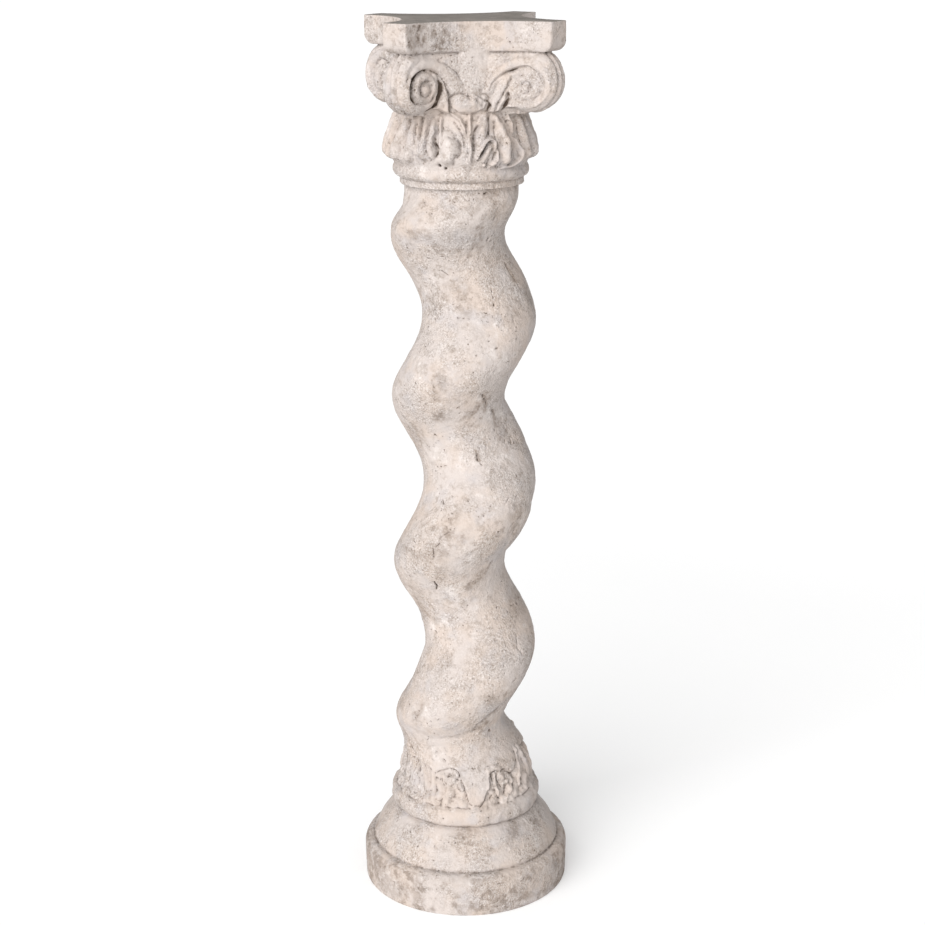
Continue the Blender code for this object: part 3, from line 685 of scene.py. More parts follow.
def shaft_stain_and_shade(points):
    total = 0.40 * patches(points, 0.034, 501, 0.15, 0.8)
    # Dirt, and painted shade under the turns of the twist
    darkening = 1.3 * twist_strokes(points, SHAFT_STAINS_AND_SHADE, 511) * (0.70 + 0.6 * rough(points, 0.006, 515))
    marks = -0.42 * twist_strokes(points, SHAFT_MARKS, 521, gaps=True)
    foot = points[:, 2] < SHAFT_FOOT + 0.004
    seam = foot * 0.6 * patches(points, 0.020, 531, -0.3, 1)
    # Darker towards the foot of the roll
    roll = 0.14 * smooth_step((SHAFT_FOOT + 0.022 - points[:, 2]) / 0.010)
    return np.maximum(np.minimum(total + darkening + seam + roll, SHAFT_DIRT_AND_SHADE), marks)


def make_shaft():
    angles = full_turn(ROUND_POINTS)
    rows = np.linspace(SHAFT_HEAD, SHAFT_FOOT, round(SHAFT_HEIGHT / ROUND_STEP))
    z, angle = crossed(rows, angles)
    height = (z - SHEATH_FOOT) / MM
    foot = through(ROLL, height) * MM
    reach = mix(foot, twist_radius(np.maximum(z, SHEATH_FOOT)), smooth_step((height - 2) / 16))
    reach += sheath_relief(angle, z) * MM
    x, y = twist_centre(z)
    points = np.stack([x + reach * np.cos(angle), y + reach * np.sin(angle), z], 1)
    obj = tube("shaft_stone", points.reshape(len(rows), ROUND_POINTS, 3))
    points, normals = get_points(obj), get_normals(obj)
    move = worn(points, 51, SHAFT_WEAR) + 1.2 * twist_strokes(points, SHAFT_MARKS, 521, gaps=True)
    move += carved(twist_way(points), SHAFT_SWELLS, uneven=False)
    inside = (points[:, 2] > SHAFT_FOOT + 0.0002) & (points[:, 2] < SHAFT_HEAD - 0.0002)
    points += normals * (move * inside * MM)[:, None]
    points[:, 2] = np.clip(points[:, 2], SHAFT_FOOT, SHAFT_HEAD)
    reshape(obj, points)
    finish_piece(obj, "twisted_shaft", MATERIALS["shaft"], shaft_stain_and_shade)


# The capital, built square to the axes and turned at the end

# The worn top edge of the abacus, as inset and drop in metres, and how far its horns may pass their reach
ABACUS_TOP_EDGE = ((0.0009, 0.0), (0.0002, 0.0005), (0.0, 0.0012))
HORN_EXCESS = 0.0022
# The round of its bottom edge in the middle of a side and at a horn, and the points along both
SIDE_BOTTOM_ROUND = 0.0035
HORN_BOTTOM_ROUND = ABACUS_BOTTOM_ROUND + 0.0020
SIDE_POINTS = 48
HORN_POINTS = 14


def side_point(s, z, out):
    """Points on the hollow front side: s along it, z their height, out in front of it."""
    angle = s / SIDE_ARC_RADIUS
    reach = SIDE_ARC_RADIUS - out
    y = -(SIDE_MIDDLE + SIDE_ARC_RADIUS - reach * np.cos(angle))
    return np.stack([reach * np.sin(angle), y, z + 0 * angle], -1)


def spun(points, angle):
    """The points turned to the left about the upright axis."""
    c, s = math.cos(angle), math.sin(angle)
    x, y = points[:, 0], points[:, 1]
    return np.stack([c * x - s * y, s * x + c * y, points[:, 2]], 1)


def turned(points, quarter):
    """The points turned by this many quarters, with no rounding."""
    c, s = (1, 0, -1, 0)[quarter], (0, 1, 0, -1)[quarter]
    x, y = points[..., 0], points[..., 1]
    return np.stack([c * x - s * y, s * x + c * y, points[..., 2]], -1)


def hollow_square(share, inset=0.0):
    """The plan of the abacus or the block under it: four hollow sides, cut off at a share of the horns."""
    span = SIDE_ARC_RADIUS * SIDE_ARC_ANGLE * share
    front = side_point(np.linspace(-span, span, SIDE_POINTS), 0.0, -inset)
    gap = np.linspace(0, 1, HORN_POINTS)[1:-1, None]
    sides = []
    for quarter in range(4):
        sides.append(turned(front, quarter))
        sides.append(mix(turned(front, quarter)[-1], turned(front, (quarter + 1) % 4)[0], gap))
    return np.concatenate(sides)


def at_height(plan, z):
    return np.stack([plan[:, 0], plan[:, 1], np.broadcast_to(z, len(plan))], 1)


def make_abacus():
    plan = hollow_square(1.0)
    plan = 0.5 * plan + 0.25 * (np.roll(plan, 1, 0) + np.roll(plan, -1, 0))
    reach = np.hypot(plan[:, 0], plan[:, 1])
    horn = smooth_step((reach - SIDE_MIDDLE) / (HORN_REACH - SIDE_MIDDLE))
    bottom = mix(SIDE_BOTTOM_ROUND, HORN_BOTTOM_ROUND, horn**1.3)
    rings = []
    for inset, drop in ABACUS_TOP_EDGE:
        rings.append(at_height(plan * (1 - inset / reach)[:, None], COLUMN_TOP - drop))
    for angle in np.radians(np.linspace(0, 90, 10)):
        flat = plan * (1 - bottom * (1 - math.cos(angle)) / reach)[:, None]
        rings.append(at_height(flat, ABACUS_FOOT + bottom * (1 - math.sin(angle))))
    rings = np.array(rings)
    reach = np.hypot(rings[..., 0], rings[..., 1])
    limit = HORN_REACH + HORN_EXCESS
    rings[..., :2] *= np.minimum(1, limit / np.maximum(reach, limit * 0.5))[..., None]
    return tube("abacus", rings)


# The plain field between the scrolls, in millimetres
FIELD = -2.4
# How far a side reaches back and down below the eyes, in metres, and the points of its face
PANEL_BACK = 0.040
PANEL_DROP = 0.034
PANEL_COLUMNS = 200
PANEL_ROWS = 110
# How far the forms of the capital run into the abacus before they are fused, in metres
OVERLAP = 0.004
# How far a side falls back to the bell, in metres
UNDERCUT = 0.018
# Where it falls back, as the way from its middle and the drop below the eyes, in millimetres
PANEL_FOOT = ((0, 27), (30, 30), (42, 24), (64, 23))
# The groove round a knob, in metres, and the depth of the painted shadow in it, in millimetres
KNOB_GROOVE = 0.0045
KNOB_GROOVE_SHADE = 4.2
# Strokes of the scroll faces, from the middle of the side and with heights over the eye
DEEP_SCROLL = (
    (14, -22, 9, 3.4, 17, -8, 9.5, 3.8, 24, 9, 10, 4.2, 36, 22, 10, 4.4, 50, 30, 8.5, 4.2),
    (50, 30, 8.5, 4.2, 66, 31, 7.5, 4, 80, 24, 7, 3.6, 91, 10, 6.5, 3.2, 94, -4, 6, 3),
    (94, -4, 6, 3, 86, -14, 6, 3, 72, -20.5, 5.5, 2.8, 60, -19, 5, 2.4, 52, -12, 4, 1.8),
    (66.8, 16.9, 5.2, 4.6, 77.8, 12.4, 6.8, 5.2, 82.4, 1.4, 7.4, 5.2, 79, -7.5, 6.4, 5),
    (79, -7.5, 6.4, 5, 71.3, -11.8, 5.4, 4.6, 59.7, -10.5, 4.6, 4, 52.5, -2, 4, 3.2),
    (52.5, -2, 4, 3.2, 52, 7, 3.6, 2.6, 56.5, 14, 4.4, 3.2, 63, 17.5, 5, 4.2, 66.8, 16.9, 5.2, 4.6),
    (31, -30, 5, 3, 34.5, -14, 4.4, 3.2, 36.5, 0, 4, 3, 43, 12, 3.4, 2.8, 52, 18, 3, 2.4),
    (66.3, 0, 8, 5.5),
    (25.7, -31.3, 1.8, -3, 28.7, -18.4, 2, -3.6, 31.6, -4.6, 2.2, -4, 41.8, 14, 2.2, -4.2),
    (41.8, 14, 2.2, -4.2, 50, 21, 2.4, -4.6, 58.9, 24.5, 2.6, -5.4, 70, 25, 2.8, -6),
    (70, 25, 2.8, -6, 79.5, 20.5, 4, -9, 87, 13, 5, -11, 90, 2, 5.4, -11.5, 88, -8, 4.8, -9.5),
    (88, -8, 4.8, -9.5, 80.5, -15.5, 2.4, -4.2, 70, -17.5, 1.5, -2.2, 60, -16, 1.5, -2.2),
    (60, -16, 1.5, -2, 52.5, -10, 2.4, -4),
    (60.5, 10.5, 2, -3.2, 66.9, 11, 2, -4.4, 73, 7.6, 1.9, -4.6, 75, 0, 1.8, -4.6),
    (75, 0, 1.8, -4.6, 72, -6.5, 1.8, -4.2, 66, -9, 1.7, -3.6, 59, -6.5, 1.6, -2.6, 56, -1, 1.5, -1.8),
    (47, 15.2, 3, -4, 42.5, 6, 4.6, -9, 41.5, -2, 5.4, -12, 44, -10.4, 5.6, -13),
    (44, -10.4, 5.6, -13, 46.5, -19, 5, -12, 52, -24.5, 4, -9, 59, -27, 3, -6),
    (7.2, -9, 1.3, -2.6, 11.1, 2.1, 1.5, -3, 19.7, 17.8, 1.6, -3.4, 33.5, 30, 1.6, -3.4),
    (33.5, 30, 1.6, -3.4, 46.9, 36, 1.5, -2.6),
    (25.5, 23.5, 1.4, -0.9, 17.3, 14.2, 1.4, -1, 10.3, 1.7, 1.4, -0.9, 7.8, -9.8, 1.4, -0.8),
)
WORN_SCROLL = (
    (12, -24, 7, 3, 16, -8, 8, 3.4, 22, 7, 8, 3.6, 33, 20.5, 7.5, 3.8, 46, 29.5, 7.5, 4),
    (46, 29.5, 7.5, 4, 60, 33, 7, 4, 73, 32, 6.5, 3.8, 85, 26, 6.5, 3.4, 94, 14, 6.5, 3.2),
    (94, 14, 6.5, 3.2, 96.5, 1, 6.5, 3, 91, -11, 6.5, 3, 79, -19.5, 6, 2.8, 64, -20.5, 5.5, 2.4),
    (64, -20.5, 5.5, 2.4, 55, -16, 4.5, 1.8),
    (24, -31, 6, 3, 29, -14, 6.5, 3.2, 35, 1, 6.5, 3.4, 43, 14, 5.5, 3.2, 55, 20, 4.5, 2.6),
    (66, 13, 5.5, 2.6, 76, 9.5, 6, 3, 79.5, 0, 6.5, 3, 75, -8, 5.5, 2.8, 66, -10.5, 4.5, 2.4),
    (66, -10.5, 4.5, 2.4, 58, -6, 4, 2, 56, 2, 4, 1.8, 59.5, 9, 4.4, 2, 66, 13, 5.5, 2.6),
    (66, 0.3, 5.5, 2.6),
    (7.4, -12, 1.4, -2.8, 12.3, -0.6, 1.5, -3.2, 18.1, 9.9, 1.5, -3.2, 29.6, 25.1, 1.6, -3.4),
    (29.6, 25.1, 1.6, -3.4, 41.2, 34.7, 1.5, -2.8, 55.8, 39.2, 1.4, -2),
    (21, -3.5, 1.6, -2.4, 23.9, 6.1, 1.8, -3, 37.4, 17.6, 2, -3.8, 51, 23, 2.8, -6),
    (51, 23, 2.8, -6, 60.9, 26.5, 2.2, -4, 68.9, 27.7, 2, -3.6, 77.1, 23.2, 1.8, -2.6),
    (77.1, 23.2, 1.8, -2.6, 84, 14.5, 1.6, -1.8, 87.5, 4, 1.6, -1.6, 84, -8, 1.6, -1.6),
    (84, -8, 1.6, -1.6, 73, -15.5, 1.5, -1.6, 60, -14, 1.6, -2.2, 52.5, -6, 1.8, -2.6),
    (48.1, 13.9, 1.8, -3.6, 43.3, 2.4, 2, -4.6, 38.5, -6.2, 1.9, -4.4, 32.7, -19.7, 1.8, -4),
    (32.7, -19.7, 1.8, -4, 28.9, -33.2, 1.7, -3.6),
    (43.4, -7.1, 3.2, -6, 44.9, -13.8, 4.4, -9, 41.5, -21.5, 4.4, -9, 37.6, -27.3, 3.4, -7),
    (60, 3, 1.4, -1.2, 62, 7.5, 1.5, -1.8, 69, 7.4, 1.6, -2.4, 72.6, 1.2, 1.6, -2.8),
    (72.6, 1.2, 1.6, -2.8, 69.4, -5.8, 1.6, -2.6, 63, -6.9, 1.5, -2.4, 59.8, -3, 1.4, -1.6),
    (53.2, -9.8, 1.5, -1.6, 60.2, -17.3, 1.6, -2, 73.4, -19.7, 1.6, -2, 85.9, -14.4, 1.5, -1.8),
    (85.9, -14.4, 1.5, -1.8, 93.4, -4.5, 1.5, -1.4),
)
SCROLLS = {"deep": DEEP_SCROLL, "worn": WORN_SCROLL}
# Which scroll is on the left and right half of each side, and how far its knob is off the middle
HANDS = (("deep", "worn"), ("deep", "deep"), ("worn", "deep"), ("worn", "worn"))
KNOB_ASIDE = (-0.004, 0.002, -0.003, 0.003)
# Marks over a whole side, beside the knob and on the field. The way along it is negative on the left
KNOB_POCKET = (
    (18, -16, 3.5, -7, 22, -22, 4, -8, 19, -29, 3, -6), (-25, -20, 1.8, -3.4, -26, -27, 1.8, -3.4),
)
SIDE_PITS = (
    (-7, 36.5, 1.8, -3, -2, 38.5, 2.2, -4, 3, 38, 1.6, -2.4), (4.5, 5.2, 2, -2.4, 7, 9, 1.8, -1.8),
    (-19, 20, 1.8, -2.6, -16, 15, 1.6, -1.8), (-45, 37, 2, -1.8, -38, 39, 2, -1.8),
)


def round_knob(way, height, quarter):
    """How near a place on a side is to the outline of its knob, from 0 to 1, both lengths in millimetres."""
    aside = (way - KNOB_ASIDE[quarter] / MM) / (KNOB_WIDTH / 2 / MM)
    above = (height - (LEAF_FOOT + LEAF_LENGTH + KNOB_HEIGHT / 2 - VOLUTE_Z) / MM) / (KNOB_HEIGHT / 2 / MM)
    far = (aside**4 + above**4) ** 0.25
    return np.exp(-(((far - 1.12) / 0.09) ** 2))


def scroll_halves(way, height, hands):
    """For each half of a side, its points, where they are on its scroll, and the strokes of that scroll."""
    for hand, here in ((hands[0], way < 0), (hands[1], way >= 0)):
        yield here, np.stack([np.abs(way[here]), height[here]], 1), SCROLLS[hand]


def side_relief(s, z, hands):
    """How far the face of a side stands out of its hollow, in metres."""
    way, height = s / MM, (z - VOLUTE_Z) / MM
    relief = np.full(len(s), FIELD)
    for here, flat, strokes in scroll_halves(way, height, hands):
        relief[here] += carved(flat, strokes, 211)
    relief += carved(np.stack([way, height], 1), KNOB_POCKET + SIDE_PITS, 221)
    relief -= 3.2 * smooth_step((height - 37) / 7)
    return relief * MM


def make_panel(quarter, hands):
    """The middle of a side, between the eyes of its volutes, with the stalks and the plain field."""
    columns = np.linspace(-VOLUTE_S, VOLUTE_S, PANEL_COLUMNS)
    rows = np.linspace(ABACUS_FOOT + OVERLAP, VOLUTE_Z - PANEL_DROP, PANEL_ROWS)
    z, s = crossed(rows, columns)
    way, height = s / MM, (z - VOLUTE_Z) / MM
    out = side_relief(s, z, hands) - KNOB_GROOVE * round_knob(way, height, quarter)
    out -= UNDERCUT * smooth_step((-height - through(PANEL_FOOT, np.abs(way))) / 4)
    face = side_point(s, z, out).reshape(len(rows), len(columns), 3)
    back = side_point(s, z, -PANEL_BACK).reshape(len(rows), len(columns), 3)
    rings = np.concatenate([face, back[:, ::-1]], 1)
    return tube(f"panel_{quarter}", turned(rings, quarter))


# Edge of a volute by turns from straight up towards the horn, in metres
VOLUTE_EDGE = (
    (0, 0.0465), (0.06, 0.046), (0.125, 0.0436), (0.25, 0.0372), (0.375, 0.031), (0.5, 0.0274),
    (0.75, 0.0215), (0.88, 0.033), (1, 0.0465),
)
VOLUTE_POINTS = 220
VOLUTE_RINGS = 60
# The rolls down the corner of a volute, its bow and its worn rims, in millimetres
ROLL_VALLEY = -4.2
ROLL_TOP = 1.3
ROLL_END = -1.5
CORNER_BOW = 3.4
RIM_ROUND = 2.2
# Where a rim begins and how wide it is, as shares of the way from the eye to the edge
RIM_START = 0.93
RIM_WIDTH = 0.07


def volute_outline():
    """The edge of a volute as (u, v) about its eye, towards the horn and upwards, in metres."""
    turns = np.linspace(0, 1, VOLUTE_POINTS, endpoint=False)
    radius = through(VOLUTE_EDGE, turns)
    angle = 2 * math.pi * turns
    return radius * np.sin(angle), radius * np.cos(angle)


def roll_height(share):
    """The height of the rolls down a corner, from one face at 0 to the other at 1, in millimetres."""
    place = share * VOLUTE_ROLLS
    part = place % 1.0
    low_before = ROLL_END if place < 1 else ROLL_VALLEY
    low_after = ROLL_END if place >= VOLUTE_ROLLS - 1 else ROLL_VALLEY
    low = low_before if part < 0.5 else low_after
    return mix(low, ROLL_TOP, math.sqrt(max(0.0, 1 - (2 * part - 1) ** 2)))


def make_volute(quarter, hand, next_hand):
    """The corner block between two scrolled faces, with the rolls down its outer edge."""
    u, v = volute_outline()
    faces = []
    for scroll in (hand, next_hand):
        rings = []
        for share in np.linspace(0.02, 1.0, VOLUTE_RINGS):
            s, z = VOLUTE_S + u * share, VOLUTE_Z + v * share
            relief = side_relief(s, z, (scroll, scroll))
            relief -= RIM_ROUND * MM * smooth_step((share - RIM_START) / RIM_WIDTH)
            rings.append(side_point(s, z, relief))
        faces.append(np.array(rings))
    front, side = faces
    side = np.stack([-side[..., 1], -side[..., 0], side[..., 2]], -1)
    edge = []
    for step in range(1, VOLUTE_RINGS):
        share = step / VOLUTE_RINGS
        ring = mix(front[-1], side[-1], share)
        out = ring - ring.mean(0)
        out /= np.maximum(np.linalg.norm(out, axis=1), 1e-6)[:, None]
        bow = CORNER_BOW * math.sin(math.pi * share)
        edge.append(ring + out * (roll_height(share) + bow) * MM)
    rings = np.concatenate([front, np.array(edge), side[::-1]])
    return tube(f"volute_{quarter}", turned(rings, quarter))


# Strokes of the hanging leaves, from the middle of the leaf and with heights over the ring
LEAF_A = (
    (-11, 62, 2.2, -3.6, -10, 52, 2.4, -4, -10, 45, 2.6, -4.2, -14, 39, 2.4, -4),
    (-14, 39, 2.4, -4, -13, 32, 2.6, -4, -9, 28, 3, -4.4, -8, 20, 2.8, -4.2, -11, 16, 2.2, -3),
    (-6.5, 64, 3.5, 2.5, -6, 45, 3.5, 2.6, -5, 30, 3.2, 2.4),
    (-3, 61, 1.4, -1.5, -2, 51, 1.4, -1.6, -2, 40, 1.3, -1.2), (-7, 4, 2.8, -6), (0, 1, 2.4, -5.4),
    (-7, 64, 1.8, -3), (12, 5, 1.7, -2.4, 14, 15, 1.7, -2.4), (13, 19, 1.7, -2.2, 17, 18, 1.6, -2.2),
    (4, 38, 12, 3.5, 8, 26, 12, 4, 5, 14, 9, 3),
    (7, 42, 1.7, -2, 17, 38, 1.7, -2.8, 22, 30, 1.7, -2.8, 22, 21, 1.7, -2.2, 17, 15, 1.6, -2),
    (8, 70, 3, 2, 20, 62, 3, 2.4, 28, 50, 3.2, 2.6, 31, 38, 3, 2.2, 29, 24, 3, 1.5),
    (12, 58, 1.6, -1.8, 21, 49, 1.8, -2.4, 26, 39, 1.7, -2.2, 26, 28, 1.6, -1.6),
    (34, 66, 3.6, 3.2, 34, 40, 3.6, 3, 33, 10, 3.4, 2.4),
    (29.5, 60, 1.7, -2, 30.5, 30, 1.8, -1.8, 29, 12, 1.7, -1.2),
    (-41, 66, 5, 2.6, -42, 50, 5, 3, -40, 36, 5, 2.4, -38, 20, 5, 2),
    (-30, 60, 4, 2, -29, 46, 4.5, 2.6, -31, 30, 6, 3.2, -28, 16, 7, 3.2),
    (-18, 60, 4, 2.2, -18, 46, 5.5, 3, -19, 32, 6, 3.2, -16, 18, 6, 3),
    (-36, 64, 1.7, -1.8, -36, 48, 1.7, -2.2, -35, 34, 1.6, -1.4),
    (-24, 60, 1.6, -1.6, -24, 48, 1.8, -2.6, -25, 40, 1.7, -2, -25, 26, 1.6, -1),
    (-26, 48, 1.4, -2.6, -27, 44, 1.4, -2.6), (-22, 48, 1.4, -2.6, -25, 42, 1.4, -2.6),
    (-17, 14, 1.7, -2.2, -19, 9, 1.7, -2.2),
)
LEAF_B = (
    (-23, 63, 1.9, -2.5, -28, 53, 2.2, -3.4, -33, 46, 2.2, -3.6, -35, 38, 2.2, -3.2),
    (-35, 38, 2.2, -3.2, -36, 24, 2, -2.4),
    (-8, 68, 1.7, -3, -11, 63, 1.8, -3.8, -13, 51, 1.8, -4.4, -14, 41, 1.8, -4),
    (-18, 66, 6, 3, -21, 54, 8, 4, -24, 42, 7, 3.4, -28, 28, 6, 2.6, -30, 16, 5, 2.2),
    (-32, 14, 2.8, 3, -24, 30, 3, 4.4, -18, 37, 3, 4.8, -14, 39, 3.2, 4.8, -9, 35, 3, 4.4),
    (-9, 35, 3, 4.4, -8, 27, 2.6, 3.4, -5, 18, 2.4, 2.6, -4, 10, 2.2, 2),
    (-19, 31, 1.7, -4.5, -22, 25, 1.8, -4.8, -28, 16, 1.8, -4.2, -30, 11, 1.6, -3),
    (-14, 28, 4.2, 2.6, -20, 19, 4.6, 2.6, -24, 11, 4, 2.2),
    (-6, 30, 1.8, -2.5, -7, 19, 2.4, -3.2, -10, 12, 2, -2.6),
    (0, 61, 6, 3.4, 5, 47, 7, 5, 9, 34, 7.5, 5.6, 8, 22, 7.5, 5.2, 9, 8, 6.5, 4),
    (-4, 58, 1.6, -2.6, -5, 46, 1.7, -3, -4, 36, 1.8, -3.6, -2, 24, 1.8, -3.4, -1, 13, 1.7, -2.8),
    (4, 60, 1.6, -2.6, 10, 53, 1.9, -3.4, 15, 47, 2.1, -4, 16, 38, 2.1, -4, 16, 28, 2.2, -4.2),
    (16, 28, 2.2, -4.2, 19, 18, 2, -3.6, 18, 11, 1.8, -2.6),
    (27, 34, 2.8, 3, 30, 27, 3, 4.2, 33, 20, 3.2, 5, 33, 12, 3.2, 5, 28, 5, 3.2, 4.6),
    (28, 5, 3.2, 4.6, 17, 0, 3, 3.8, 2, -3, 2.6, 2.4),
    (24, 26, 1.7, -3, 24, 17, 1.9, -4, 23, 10, 1.7, -3.4),
    (10, 66, 1.6, -3, 16, 60, 1.6, -3, 19, 55, 1.5, -2.4), (20, 57, 2.1, -5), (28, 58, 2.1, -5),
    (-3, 63, 1.6, -2.6), (-4, 59, 1.5, -2.2, -4, 53, 1.5, -2.2),
    (22, 64, 3, 2.4, 24, 54, 3, 3, 25, 44, 3, 2.6), (-16, 11, 1.4, -3, -19, 2, 1.4, -3),
    (-17, 7, 1.3, -2.6, -17, 1, 1.3, -2.6), (-8, 7, 3.5, 3, -12, 3, 3, 2.4), (-22, 4, 3, 2.4),
    (-3, 8, 1.7, -3.4, -3, 1, 1.9, -3.4), (4, 8, 1.5, -2.6, 3, 3, 1.5, -2.4),
    (-14, 72, 2.4, -3, -9, 76, 2, -2.6),
)
LEAF_C = (
    (12, 66, 7, 3, 8, 52, 8, 3.6, 2, 38, 8, 4, -2, 22, 9, 5, 0, 12, 8, 4.5),
    (26, 60, 6, 3, 25, 44, 7, 3.6, 24, 26, 8, 4, 22, 12, 7, 3.6),
    (-20, 60, 6, 3, -22, 44, 7, 3.6, -24, 26, 8, 4.4, -22, 12, 7, 4), (2, 58, 2, -3.5, -9, 43, 2.2, -3.5),
    (16, 60, 1.7, -2.5, 14, 40, 1.9, -2.8, 10, 24, 1.7, -2),
    (-14, 58, 1.7, -2.2, -16, 34, 1.9, -2.6, -14, 16, 1.7, -2), (32, 56, 1.7, -2, 33, 30, 1.7, -2),
    (-30, 54, 1.7, -2, -33, 34, 1.8, -2.4, -31, 14, 1.6, -1.8), (20, 34, 1.6, -1.8, 18, 18, 1.6, -1.8),
    (4, 8, 2.2, -3.4),
)
LEAF_SWELL = 1.6
LEAF_DEPTH = 2.0
LEAF_WAY_MM = 94
LEAF_SECTOR = 2 * math.pi / LEAF_COUNT
BELL_REACH = 0.1000
# Each leaf's place round the bell, strokes, 1 or -1 for mirrored, and seed. They come again behind
LEAVES = ((-0.5, LEAF_A, 1, 231), (0.5, LEAF_B, 1, 241), (1.5, LEAF_C, -1, 251), (-1.5, LEAF_C, 1, 261))
# Reach of the bell by the height over the ring, in millimetres
BELL = (
    (-0.5, 88.6), (2, 89.6), (6, 92), (13, 94.4), (28, 92.4), (45, 87.5), (60, 83), (72, 80), (82, 78),
    (92, 72), (150, 66),
)
# The foot of the capital stands a little to the left of its head
LEAN = (
    (CAPITAL_FOOT, -0.0012),
    (CAPITAL_FOOT + 0.0045, -0.0016),
    (LEAF_FOOT - 0.0095, -0.0029),
    (LEAF_FOOT + 0.0130, -0.0036),
    (LEAF_FOOT + 0.0630, -0.0033),
    (VOLUTE_Z, 0.0),
)


def on_leaves(turn, height):
    """For each leaf, where the points are on it, its strokes and its seed. The turn is in leaves."""
    for place, strokes, hand, seed in LEAVES:
        off = half_turn(turn - place, LEAF_COUNT / 4)
        yield np.stack([hand * off * LEAF_SECTOR * LEAF_WAY_MM, height], 1), strokes, seed


def bell_relief(angle, z):
    """The hanging leaves round the bell, in metres out from the bell."""
    height = (z - LEAF_FOOT) / MM
    turn = (angle + math.pi / 2) / LEAF_SECTOR
    place = np.stack([turn * LEAF_SECTOR * LEAF_WAY_MM, height, 0 * height], 1)
    relief = LEAF_SWELL * np.abs(np.sin(math.pi * turn)) * smooth_step(height / 12)
    relief += 0.7 * rough(place, 9.0, 271)
    for flat, strokes, seed in on_leaves(turn, height):
        relief += LEAF_DEPTH * carved(flat, strokes, seed)
    fade = smooth_step((height + 5) / 6) * smooth_step((84 - height) / 10)
    return relief * fade * MM


def make_bell():
    """The turned foot, the ring over it, and the bell with its leaves up to the hollow sides."""
    angle = full_turn(BELL_POINTS)
    ring_middle = CAPITAL_FOOT + FILLET_HEIGHT + ASTRAGAL_HEIGHT / 2
    leaf_top = LEAF_FOOT + LEAF_LENGTH + 0.012
    upper = np.linspace(ABACUS_FOOT + OVERLAP, leaf_top, 20, endpoint=False)
    leaves = np.linspace(leaf_top, LEAF_FOOT, 104, endpoint=False)
    rows = np.concatenate([upper, leaves, np.linspace(LEAF_FOOT, CAPITAL_FOOT, 40)])
    z, turn = crossed(rows, angle)
    height = (z - LEAF_FOOT) / MM
    body = through(BELL, height) * MM + bell_relief(turn, z)
    swell = np.sqrt(np.clip(1 - ((z - ring_middle) / (ASTRAGAL_HEIGHT / 2)) ** 2, 0, 1))
    ring = FILLET_RADIUS + (ASTRAGAL_RADIUS - FILLET_RADIUS) * swell
    round_ring = np.stack([np.cos(turn), np.sin(turn), z / 0.085], 1)
    ring -= 0.0011 * patches(round_ring, 0.16, 281, -0.1, 1)
    blend = smooth_step((height + 6) / 6)
    reach = mix(ring, np.maximum(body, ring), blend)
    rings = np.stack([reach * np.cos(turn), reach * np.sin(turn), z], 1)
    return tube("bell", rings.reshape(len(rows), BELL_POINTS, 3))


# How far the block lies behind the plan of the abacus, in metres
CORE_INSET = 0.0075


def make_core():
    """The hollow-sided block under the abacus, behind the stalks."""
    top = hollow_square(0.80, CORE_INSET)
    low = hollow_square(0.70, CORE_INSET)
    under = low / np.linalg.norm(low[:, :2], axis=1)[:, None] * BELL_RADIUS * 0.9
    levels = ((top, ABACUS_FOOT + 0.006), (low, VOLUTE_Z - 0.0165), (under, LEAF_FOOT + 0.058))
    return tube("core", np.array([at_height(plan, z) for plan, z in levels]))


# A knob's points round and down, how square it is, and its lumps along x, y and z in metres
KNOB_POINTS = 72
KNOB_RINGS = 30
KNOB_SQUARENESS = 0.7
KNOB_LUMPS = (0.0014, -0.0026, 0.0022)


def make_knob(quarter):
    """The rough knob between the feet of two stalks."""
    turns = full_turn(KNOB_POINTS)
    z = LEAF_FOOT + LEAF_LENGTH + KNOB_HEIGHT / 2
    waves = (np.cos(turns), np.sin(turns))
    flat_x, flat_y = (np.sign(wave) * np.abs(wave) ** KNOB_SQUARENESS for wave in waves)
    rings = []
    for tilt in np.radians(np.linspace(88, -88, KNOB_RINGS)):
        x = KNOB_ASIDE[quarter] + KNOB_WIDTH / 2 * math.cos(tilt) ** 0.5 * flat_x
        y = KNOB_THROW * math.cos(tilt) ** 0.5 * flat_y - SIDE_MIDDLE + 0.004
        rings.append(np.stack([x, y, np.full(len(turns), z + KNOB_HEIGHT / 2 * math.sin(tilt))], 1))
    rings = np.array(rings)
    lumps = rough(rings.reshape(-1, 3), 0.012, 90 + quarter, gain=0.7).reshape(rings.shape[:2])
    rings += np.array(KNOB_LUMPS) * lumps[..., None]
    return tube(f"knob_{quarter}", turned(rings, quarter))


def grooves(strokes):
    """Only those strokes that go in."""
    return [numbers for numbers in strokes if numbers[3] < 0]


